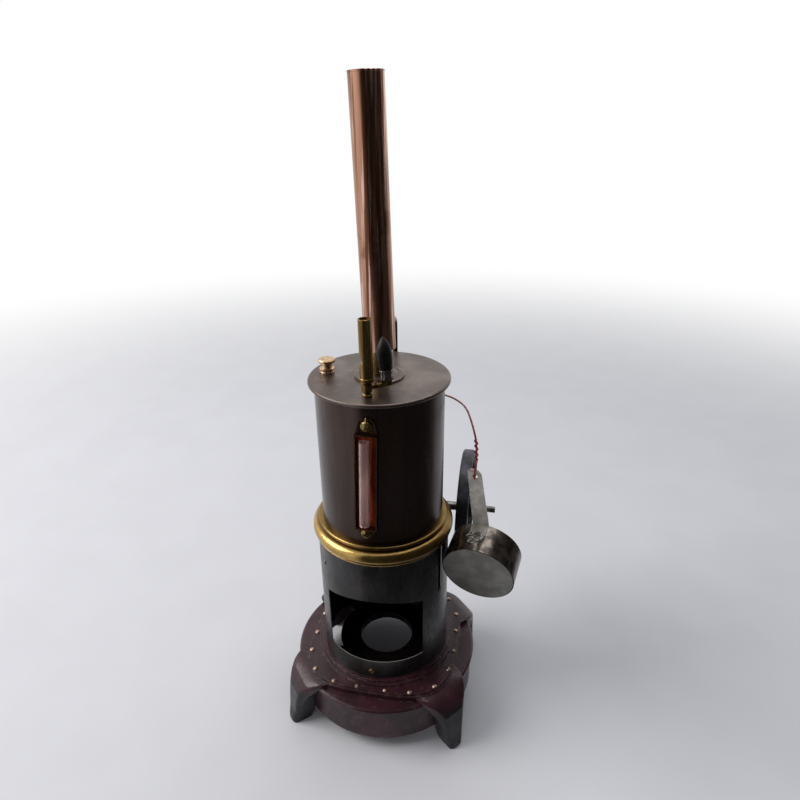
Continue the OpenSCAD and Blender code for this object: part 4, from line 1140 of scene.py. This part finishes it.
class ENGINE_OT_fittings(EngineOperator, bpy.types.Operator):
    """Finish the filler cap, the whistle and its cock"""
    bl_idname = "engine.fittings"
    bl_label = "Fittings"

    WALL, EDGE, PLUG_D = 0.7 * MM, 0.15 * MM, 1 * MM
    COLLAR_LIP, COLLAR_H = 0.3 * MM, 2 * MM
    MOUTH_SILL, MOUTH_D, MOUTH_STEP = 1.4 * MM, 2 * MM, 0.8 * MM
    # Height between two levels that make a crisp edge
    CRISP = 0.01 * MM
    SOCKET_FLOOR, SOCKET_WALL, SOCKET_BORE = 1.2 * MM, 0.6 * MM, 0.3 * MM
    SHOULDER_RISE = 8.5 * MM
    SWELL_STEPS, POINT_STEPS, POINT_POWER = 8, 14, 2.2
    # The ferrule's outside: how far each point lies inside its radius, and its height
    FERRULE_TURNING = ((1 * MM, 0), (0.2 * MM, 0.5 * MM), (0, SOCKET_FLOOR), (0.5 * MM, 3 * MM),
                       (0.4 * MM, 4.6 * MM), (0.1 * MM, FERRULE_H - 0.4 * MM), (0.3 * MM, FERRULE_H))

    def execute(self, context):
        coat("filler_seat", "filler_cap", "whistle_stem", "whistle_arm")
        self.whistle()
        self.cock_handle()
        return {"FINISHED"}

    def whistle(self):
        """The whistle's tube, with the slanted mouth cut in its left side."""
        place = Matrix.Translation(WHISTLE_AT)
        r, inner, plug_z = WHISTLE_R, WHISTLE_R - self.WALL, WHISTLE_H - self.PLUG_D
        collar_r, collar_top = r + self.COLLAR_LIP, WHISTLE_FOOT + self.COLLAR_H
        sill = MOUTH_LOW + self.MOUTH_SILL
        levels = [MOUTH_LOW - self.CRISP, MOUTH_LOW, sill,
                  *(sill + i * self.MOUTH_STEP for i in range(1, 6)), MOUTH_TOP, WHISTLE_H - self.EDGE]
        profile = [(0, WHISTLE_FOOT), (collar_r, WHISTLE_FOOT), (collar_r, collar_top),
                   (r, collar_top + self.COLLAR_LIP), *((r, z) for z in levels),
                   (r - self.EDGE, WHISTLE_H), (inner, WHISTLE_H), (inner, plug_z), (0, plug_z)]
        bm = bmesh.new()
        lathe(bm, profile, place, steps=72)
        mouth = Vector((math.cos(math.radians(MOUTH_TURN)), math.sin(math.radians(MOUTH_TURN)), 0))
        for v in bm.verts:
            height = v.co.z - PLATE_Z
            if MOUTH_LOW - self.CRISP / 2 < height < MOUTH_TOP:
                rise = max(0.0, height - sill) / (MOUTH_TOP - sill)
                limit = r - self.MOUTH_D * (1 - rise)
                v.co -= mouth * max(0.0, (v.co - WHISTLE_AT).dot(mouth) - limit)
        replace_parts(new_piece("whistle_pipe", bm, "whistle_brass"), "whistle_tube")

    def cock_handle(self):
        """The cock's ferrule and its bullet-shaped handle, which ride on the cock."""
        floor, seat_r, bore = self.SOCKET_FLOOR, FERRULE_R - self.SOCKET_WALL, self.SOCKET_BORE
        outside = [(FERRULE_R - inset, z) for inset, z in self.FERRULE_TURNING]
        bm = bmesh.new()
        closed_lathe(bm, [(bore, 0), *outside, (seat_r, FERRULE_H), (seat_r, floor), (bore, floor)],
                     COCK, steps=48)
        ferrule = new_piece("handle_ferrule", bm, "nickel", body="whistle_cock")
        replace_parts(ferrule, "valve_ferrule")
        shoulder, start_r = FERRULE_H + self.SHOULDER_RISE, FERRULE_R - self.EDGE
        steps = self.SWELL_STEPS
        swell = [(start_r + (HANDLE_R - start_r) * math.sin(math.pi / 2 * i / steps),
                  FERRULE_H + (shoulder - FERRULE_H) * i / steps) for i in range(steps)]
        steps = self.POINT_STEPS
        point = [(HANDLE_R * (1 - (i / steps) ** self.POINT_POWER),
                  shoulder + (HANDLE_H - shoulder) * i / steps) for i in range(steps)]
        bm = bmesh.new()
        lathe(bm, [(0, floor), (seat_r, floor), (seat_r, FERRULE_H), *swell, *point, (0, HANDLE_H)],
              COCK, steps=48)
        handle = new_piece("wooden_handle", bm, "black_wood", body="whistle_cock")
        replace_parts(handle, "valve_handle")


class ENGINE_OT_gauge(EngineOperator, bpy.types.Operator):
    """Finish the water gauge and set the screws in its two fittings"""
    bl_idname = "engine.gauge"
    bl_label = "Water Gauge"

    SHEET_T, WALL_T = 0.9 * MM, 0.8 * MM
    GLASS_WALL = 0.8 * MM
    # The glass stands a little to the left, and clear of the back sheet
    GLASS_X, GLASS_Y = -0.5 * MM, -GLASS_R - 1.1 * MM
    TOP_SLOT_TURN, LOW_SLOT_TURN = 62, -18
    NECK_H = 2.6 * MM
    # Outside of a plug, from its foot to its neck: how far inside the radius, and the height
    PLUG_TURNING = ((0, 0), (0, 1.8 * MM), (0.3 * MM, 2.2 * MM), (0.8 * MM, NECK_H))
    SCREW_R, SCREW_H, SCREW_SUNK = 2 * MM, 1.1 * MM, 0.1 * MM
    # The pointed pin over the top screw: its place, and its outline from foot to tip
    PIN_UP, PIN_OUT = 3.5 * MM, 1.2 * MM
    PIN_OUTLINE = ((0, -1 * MM), (1 * MM, -1 * MM), (0.9 * MM, 1 * MM), (0.4 * MM, 2.2 * MM), (0, 2.4 * MM))

    def execute(self, context):
        bm = bmesh.new()
        self.back_sheet(bm)
        self.walls(bm)
        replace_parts(new_piece("gauge_trough", bm, "gauge_copper"), "gauge_channel")
        bm = bmesh.new()
        inner = GLASS_R - self.GLASS_WALL
        closed_lathe(bm, [(GLASS_R, GLASS_LOW), (GLASS_R, GLASS_TOP), (inner, GLASS_TOP), (inner, GLASS_LOW)],
                     GAUGE @ moved(self.GLASS_X, self.GLASS_Y, 0), steps=48)
        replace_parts(new_piece("gauge_tube", bm, "gauge_glass"), "gauge_glass")
        self.screw("top_gauge_screw", GAUGE_TOP_SCREW, self.TOP_SLOT_TURN, "gauge_top_fitting")
        self.screw("bottom_gauge_screw", GAUGE_LOW_SCREW, self.LOW_SLOT_TURN, "gauge_bottom_fitting")
        return {"FINISHED"}

    def back_sheet(self, bm):
        """The sheet behind the glass, with a rounded tab round each screw."""
        low = arc(0, GAUGE_LOW_SCREW, GAUGE_LOW_TAB_R, -170, -10, 16)
        top = arc(0, GAUGE_TOP_SCREW, GAUGE_TOP_TAB_R, 0, 180, 20)
        outline = [(-GAUGE_HALF_W, -GAUGE_HALF_L), *low, (GAUGE_HALF_W, -GAUGE_HALF_L),
                   (GAUGE_HALF_W, GAUGE_HALF_L), *top, (-GAUGE_HALF_W, GAUGE_HALF_L)]
        rows = [[bm.verts.new(GAUGE @ Vector((x, y, z))) for x, z in outline]
                for y in (-self.SHEET_T, self.SHEET_T)]
        for i in range(len(outline)):
            j = (i + 1) % len(outline)
            bm.faces.new((rows[0][i], rows[0][j], rows[1][j], rows[1][i]))
        for row in rows:
            bm.faces.new(row)

    def walls(self, bm):
        """The turned-up edges that hold the glass."""
        t, depth = self.WALL_T, GAUGE_D + self.SHEET_T
        middle_y = (self.SHEET_T - GAUGE_D) / 2
        for side in (-1, 1):
            x, z = side * (GAUGE_HALF_W - t / 2), side * (GAUGE_HALF_L - t / 2)
            block(bm, GAUGE @ moved(x, middle_y, 0), (t, depth, 2 * GAUGE_HALF_L))
            block(bm, GAUGE @ moved(0, middle_y, z), (2 * GAUGE_HALF_W, depth, t))

    def screw(self, name, z, turn, node):
        """A brass plug with a slotted screw in its middle. The top one has a pointed pin over it."""
        place = GAUGE @ moved(0, 0, z) @ turned("X", 90)
        outside = [(GAUGE_SCREW_R - inset, height) for inset, height in self.PLUG_TURNING]
        bm = bmesh.new()
        lathe(bm, [(0, 0), *outside, (0, self.NECK_H)], place, steps=40)
        slotted_head(bm, place @ moved(0, 0, self.NECK_H - self.SCREW_SUNK) @ turned("Z", turn),
                     self.SCREW_R, self.SCREW_H)
        if z > 0:
            peak = place @ moved(0, self.PIN_UP, self.PIN_OUT) @ turned("X", -90)
            lathe(bm, self.PIN_OUTLINE, peak, steps=12)
        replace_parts(new_piece(name, bm, "tarnished_brass"), node)


class ENGINE_OT_engine(EngineOperator, bpy.types.Operator):
    """Finish the engine at the back and set its bolts, nuts and spring"""
    bl_idname = "engine.engine"
    bl_label = "Engine"

    SPRING_L, SPRING_R, SPRING_TURNS = 7 * MM, 2.5 * MM, 5
    SPRING_WIRE_R, SPRING_GAP = 0.45 * MM, 0.5 * MM
    PIVOT_NUT_R, PIVOT_NUT_H = 3.2 * MM, 2.4 * MM
    STUD_R, STUD_PAST = 1.5 * MM, 1 * MM
    PLATE_NUT_R, PLATE_NUT_H = 1.8 * MM, 1.3 * MM
    PLATE_NUT_Y, PLATE_NUT_Z = 3.6 * MM, PIVOT_Z + 14 * MM
    COVER_SCREWS, COVER_SCREW_AT = 4, 5.2 * MM
    COVER_SCREW_R, COVER_SCREW_H = 1.1 * MM, 0.8 * MM

    def execute(self, context):
        coat("engine_plate", "port_block", "engine_cylinder", "piston_rod", "shaft_bracket", "steam_pipe")
        coat("bearing_tube", material="steel")
        self.exhaust()
        self.nuts()
        self.spring()
        return {"FINISHED"}

    @staticmethod
    def exhaust():
        """The pipe from the engine up to the back of the chimney."""
        bm = bmesh.new()
        bend = EXHAUST_BEND
        turn = [(0, EXHAUST_Y + y, z) for y, z in arc(-bend, EXHAUST_TOP - bend, bend, 0, 90)]
        end = (0, CHIMNEY_R - EXHAUST_IN, EXHAUST_TOP)
        sweep(bm, [Vector(p) for p in ((0, EXHAUST_Y, EXHAUST_LOW), *turn, end)], EXHAUST_R, steps=20)
        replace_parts(new_piece("bent_exhaust", bm, "pipe_copper"), "exhaust_pipe")

    def nuts(self):
        """The pivot's stud and nut, the plate's two nuts and the screws of the cylinder's cover."""
        bm = bmesh.new()
        face = moved(ENGINE_FACE_X, SHAFT_Y, PIVOT_Z) @ turned("Y", 90)
        nut(bm, face @ moved(0, 0, self.SPRING_L), self.PIVOT_NUT_R, self.PIVOT_NUT_H)
        stud_l = self.SPRING_L + self.STUD_PAST
        lathe(bm, [(0, 0), (self.STUD_R, 0), (self.STUD_R, stud_l), (0, stud_l)], face, steps=20)
        for y in (-self.PLATE_NUT_Y, self.PLATE_NUT_Y):
            place = moved(ENGINE_FACE_X, SHAFT_Y + y, self.PLATE_NUT_Z) @ turned("Y", 90)
            nut(bm, place, self.PLATE_NUT_R, self.PLATE_NUT_H)
        for i in range(self.COVER_SCREWS):
            a = math.radians(45 + 90 * i)
            out = self.COVER_SCREW_AT
            at = moved(CYLINDER_X + out * math.cos(a), SHAFT_Y + out * math.sin(a), CYLINDER_TOP)
            slotted_head(bm, at @ turned("Z", 25 + 50 * i), self.COVER_SCREW_R, self.COVER_SCREW_H)
        new_piece("engine_nuts", bm, "steel")

    def spring(self):
        """The coil that presses the cylinder to its port block."""
        bm = bmesh.new()
        face = moved(ENGINE_FACE_X, SHAFT_Y, PIVOT_Z) @ turned("Y", 90)
        steps = 20 * self.SPRING_TURNS
        rise = self.SPRING_L - 2 * self.SPRING_GAP
        coil = []
        for i in range(steps + 1):
            a = 2 * math.pi * self.SPRING_TURNS * i / steps
            coil.append(face @ Vector((self.SPRING_R * math.cos(a), self.SPRING_R * math.sin(a),
                                       self.SPRING_GAP + rise * i / steps)))
        sweep(bm, coil, self.SPRING_WIRE_R, steps=8)
        new_piece("pivot_spring", bm, "steel", sharp=60)


class ENGINE_OT_flywheel(EngineOperator, bpy.types.Operator):
    """Finish the flywheel, the crankshaft and the crank disc"""
    bl_idname = "engine.flywheel"
    bl_label = "Flywheel"

    HUB_R = 8 * MM
    SCREW_TURN, SLOT_TURN = 30, 70
    # How far the screw stands in from the hub's end and is sunk in the hub
    SCREW_IN, SCREW_SUNK = 1.9 * MM, 0.5 * MM
    SCREW_R, SCREW_H = 1.5 * MM, 1.7 * MM

    def execute(self, context):
        coat("flywheel", "crankshaft", "crank_disc")
        bm = bmesh.new()
        place = (moved(WHEEL_TOP.x - self.SCREW_IN, SHAFT_Y, SHAFT_Z) @ turned("X", self.SCREW_TURN)
                 @ moved(0, 0, self.HUB_R - self.SCREW_SUNK) @ turned("Z", self.SLOT_TURN))
        slotted_head(bm, place, self.SCREW_R, self.SCREW_H)
        new_piece("hub_screw", bm, "steel", body="flywheel")
        return {"FINISHED"}


class ENGINE_OT_burner(EngineOperator, bpy.types.Operator):
    """Finish the spirit burner, with the crumpled handle and the solder that holds it"""
    bl_idname = "engine.burner"
    bl_label = "Burner"

    VOXEL = 0.32 * MM
    TAB_W, TAB_L, TAB_T = 10.8 * MM, 9 * MM, 0.7 * MM
    TAB_BACK, TAB_STEPS = 0.6 * MM, 8
    # Crumpling of the strip's top and bending of its length: waves per metre, and depth
    CRUMPLE_PITCH, CRUMPLE_D = 240, 0.9 * MM
    BEND_PITCH, BEND_D = 90, 0.35 * MM
    TORN_FROM, TORN_L = 1.5 * MM, 8 * MM
    # Middle and half size of the solder, across the wall and along its depth
    SOLDER_ACROSS, SOLDER_DEPTH = -3.2 * MM, 10.4 * MM
    SOLDER_HALF_W, SOLDER_HALF_L = 8.6 * MM, 6.6 * MM
    SOLDER_H, SOLDER_SUNK, SOLDER_STEPS = 1.7 * MM, 0.3 * MM, 30
    # Rolled seams: how far in from the tin's ends, and half the height and width of their section
    SEAM_IN, SEAM_R, SEAM_HALF_W = 0.3 * MM, 0.35 * MM, 0.45 * MM
    SEAM_STEPS = 10

    def execute(self, context):
        coat("burner_tin", "burner_wick_tube")
        self.crumpled_handle()
        self.tab()
        self.solder()
        self.rims()
        return {"FINISHED"}

    def crumpled_handle(self):
        """The handle's strip, bent a little along its length and crumpled at its torn top."""
        bm = bmesh.new()
        bm.from_mesh(NODES["burner_handle"].data)
        piece = new_piece("crumpled_handle", bm, "handle_tin", sharp=50)
        remesh = piece.modifiers.new("even_mesh", "REMESH")
        remesh.mode, remesh.voxel_size = "VOXEL", self.VOXEL
        depsgraph = bpy.context.evaluated_depsgraph_get()
        mesh = bpy.data.meshes.new_from_object(piece.evaluated_get(depsgraph))
        piece.modifiers.remove(remesh)
        inverse = BURNER.inverted()
        out = (BURNER.to_3x3() @ Vector((0, 1, 0))).normalized()
        for v in mesh.vertices:
            local = inverse @ v.co
            top = max(0.0, min(1.0, (local.z + self.TORN_FROM) / self.TORN_L))
            crumple = noise.noise(local * self.CRUMPLE_PITCH) * self.CRUMPLE_D * top
            bend = noise.noise(local * self.BEND_PITCH) * self.BEND_D
            v.co = v.co + out * (crumple + bend)
        mesh.shade_smooth()
        mesh.materials.clear()
        mesh.materials.append(finish("handle_tin"))
        piece.data = mesh
        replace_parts(piece, "burner_handle")

    def on_wall(self, across, depth, lift=0.0):
        """A point on the tin's wall: across from its top, and depth from its back towards its face."""
        a = across / BURNER_R
        r = BURNER_R + lift
        return BURNER @ Vector((BURNER_OFF_X + r * math.sin(a), -depth,
                                -BURNER_HANDLE_L - BURNER_R + r * math.cos(a)))

    def tab(self):
        """The strip's lower end, bent over onto the tin's wall."""
        bm = bmesh.new()
        steps = self.TAB_STEPS
        across = [-BURNER_OFF_X + self.TAB_W * (i / steps - 0.5) for i in range(steps + 1)]
        rows = []
        for lift in (0.0, self.TAB_T):
            for depth in (-self.TAB_BACK, self.TAB_L * 0.5, self.TAB_L):
                rows.append([bm.verts.new(self.on_wall(x, depth, lift)) for x in across])
        order = [rows[0], rows[1], rows[2], rows[5], rows[4], rows[3], rows[0]]
        for a, b in zip(order, order[1:]):
            for i in range(steps):
                bm.faces.new((a[i], a[i + 1], b[i + 1], b[i]))
        for i in (0, steps):
            bm.faces.new([rows[k][i] for k in (0, 1, 2, 5, 4, 3)])
        new_piece("handle_tab", bm, "handle_tin")

    def solder(self):
        """A lumpy patch of solder over the tab's end."""
        bm = bmesh.new()
        steps = self.SOLDER_STEPS
        grid = []
        for i in range(steps + 1):
            row = []
            for j in range(steps + 1):
                u, v = 2 * i / steps - 1, 2 * j / steps - 1
                across = self.SOLDER_ACROSS + u * self.SOLDER_HALF_W
                depth = self.SOLDER_DEPTH + v * self.SOLDER_HALF_L
                ragged = 0.78 + 0.3 * noise.noise(Vector((math.atan2(v, u) * 1.7, 3, 1)))
                body = max(0.0, 1 - (u * u + v * v) / ragged ** 2) ** 0.5
                lump = 0.85 + 0.3 * noise.noise(Vector((u * 4, v * 4, 2)))
                lift = self.SOLDER_H * body * lump - self.SOLDER_SUNK
                row.append(bm.verts.new(self.on_wall(across, depth, lift)))
            grid.append(row)
        for a, b in zip(grid, grid[1:]):
            for j in range(steps):
                bm.faces.new((a[j], a[j + 1], b[j + 1], b[j]))
        new_piece("handle_solder", bm, "solder", sharp=80)

    def rims(self):
        """The rolled seams at the tin's face and back."""
        bm = bmesh.new()
        for depth in (self.SEAM_IN, BURNER_H - self.SEAM_IN):
            middle = BURNER @ Vector((BURNER_OFF_X, -depth, -BURNER_HANDLE_L - BURNER_R))
            place = Matrix.Translation(middle) @ BURNER.to_3x3().to_4x4() @ turned("X", 90)
            ring = [(BURNER_R - self.SEAM_R + self.SEAM_R * math.cos(a), self.SEAM_HALF_W * math.sin(a))
                    for a in (2 * math.pi * i / self.SEAM_STEPS for i in range(self.SEAM_STEPS + 1))]
            lathe(bm, ring, place, steps=96)
        bmesh.ops.remove_doubles(bm, verts=bm.verts, dist=0.01 * MM)
        new_piece("tin_seams", bm, "tinplate")


class ENGINE_OT_wire(EngineOperator, bpy.types.Operator):
    """Lay the coated wire from the exhaust pipe to the burner's handle, with its free end wound round it"""
    bl_idname = "engine.wire"
    bl_label = "Wire"

    FRONT_LOOP = ((61.3, -14.0, 192.9), (61.25, -16.7, 193.0), (61.2, -17.6, 196.0), (61.3, -17.3, 199.6),
                  (61.5, -15.4, 202.4))
    # Heights between which the free end is wound round the wire, in front of TWIST_Y
    TWIST_FROM, TWIST_UP_TO, TWIST_Y = 203 * MM, 214 * MM, 5 * MM
    # Distance between the two middles, and the free end's radius, as shares of the wire's radius
    TWIST_OUT, FREE_END_R = 1.3, 0.94

    def execute(self, context):
        sizes = context.scene.engine_sizes
        r = sizes.wire_radius
        bm = bmesh.new()
        back = smooth_route(WIRE_ROUTE[1:], per_span=12)
        sweep(bm, back, r, steps=12)
        shared = [p for p in back if self.TWIST_FROM <= p.z <= self.TWIST_UP_TO and p.y < self.TWIST_Y]
        wound = []
        for i, (p, (side, up)) in enumerate(zip(shared, carried_sides(shared))):
            a = 2 * math.pi * sizes.wire_turns * i / len(shared)
            wound.append(p + self.TWIST_OUT * r * (side * math.cos(a) + up * math.sin(a)))
        wound = smooth_route(wound, per_span=4)
        loop = [Vector(p) * MM for p in self.FRONT_LOOP]
        sweep(bm, smooth_route([*loop, *wound[::4]], per_span=8), r * self.FREE_END_R, steps=12)
        piece = new_piece("twisted_wire", bm, "red_wire", sharp=60)
        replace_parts(piece, "hanging_wire")
        return {"FINISHED"}


PIECES = (ENGINE_OT_base, ENGINE_OT_firebox, ENGINE_OT_boiler, ENGINE_OT_chimney, ENGINE_OT_fittings,
          ENGINE_OT_gauge, ENGINE_OT_engine, ENGINE_OT_flywheel, ENGINE_OT_burner, ENGINE_OT_wire)


class ENGINE_PT_panel(bpy.types.Panel):
    """Lists the stage and the pieces of the steam engine"""
    bl_idname = "ENGINE_PT_panel"
    bl_label = "Steam Engine"
    bl_space_type = "VIEW_3D"
    bl_region_type = "UI"
    bl_category = "Steam Engine"

    def draw(self, context):
        for name in ("engine_sizes", "engine_colours", "engine_stage"):
            group = getattr(context.scene, name)
            column = self.layout.column()
            for prop in group.__annotations__:
                column.prop(group, prop)
        for operator in (ENGINE_OT_stage, *PIECES):
            self.layout.operator(operator.bl_idname)


CLASSES = (EngineSizes, EngineColours, StageSettings, ENGINE_OT_stage, *PIECES, ENGINE_PT_panel)
GROUPS = {"engine_sizes": EngineSizes, "engine_colours": EngineColours, "engine_stage": StageSettings}


def register():
    for cls in CLASSES:
        bpy.utils.register_class(cls)
    for name, group in GROUPS.items():
        setattr(bpy.types.Scene, name, PointerProperty(type=group))


def unregister():
    for name in GROUPS:
        delattr(bpy.types.Scene, name)
    for cls in reversed(CLASSES):
        bpy.utils.unregister_class(cls)


def main():
    register()
    bpy.ops.engine.stage()
    bpy.ops.engine.base()
    bpy.ops.engine.firebox()
    bpy.ops.engine.boiler()
    bpy.ops.engine.chimney()
    bpy.ops.engine.fittings()
    bpy.ops.engine.gauge()
    bpy.ops.engine.engine()
    bpy.ops.engine.flywheel()
    bpy.ops.engine.burner()
    bpy.ops.engine.wire()


if __name__ == "__main__":
    main()
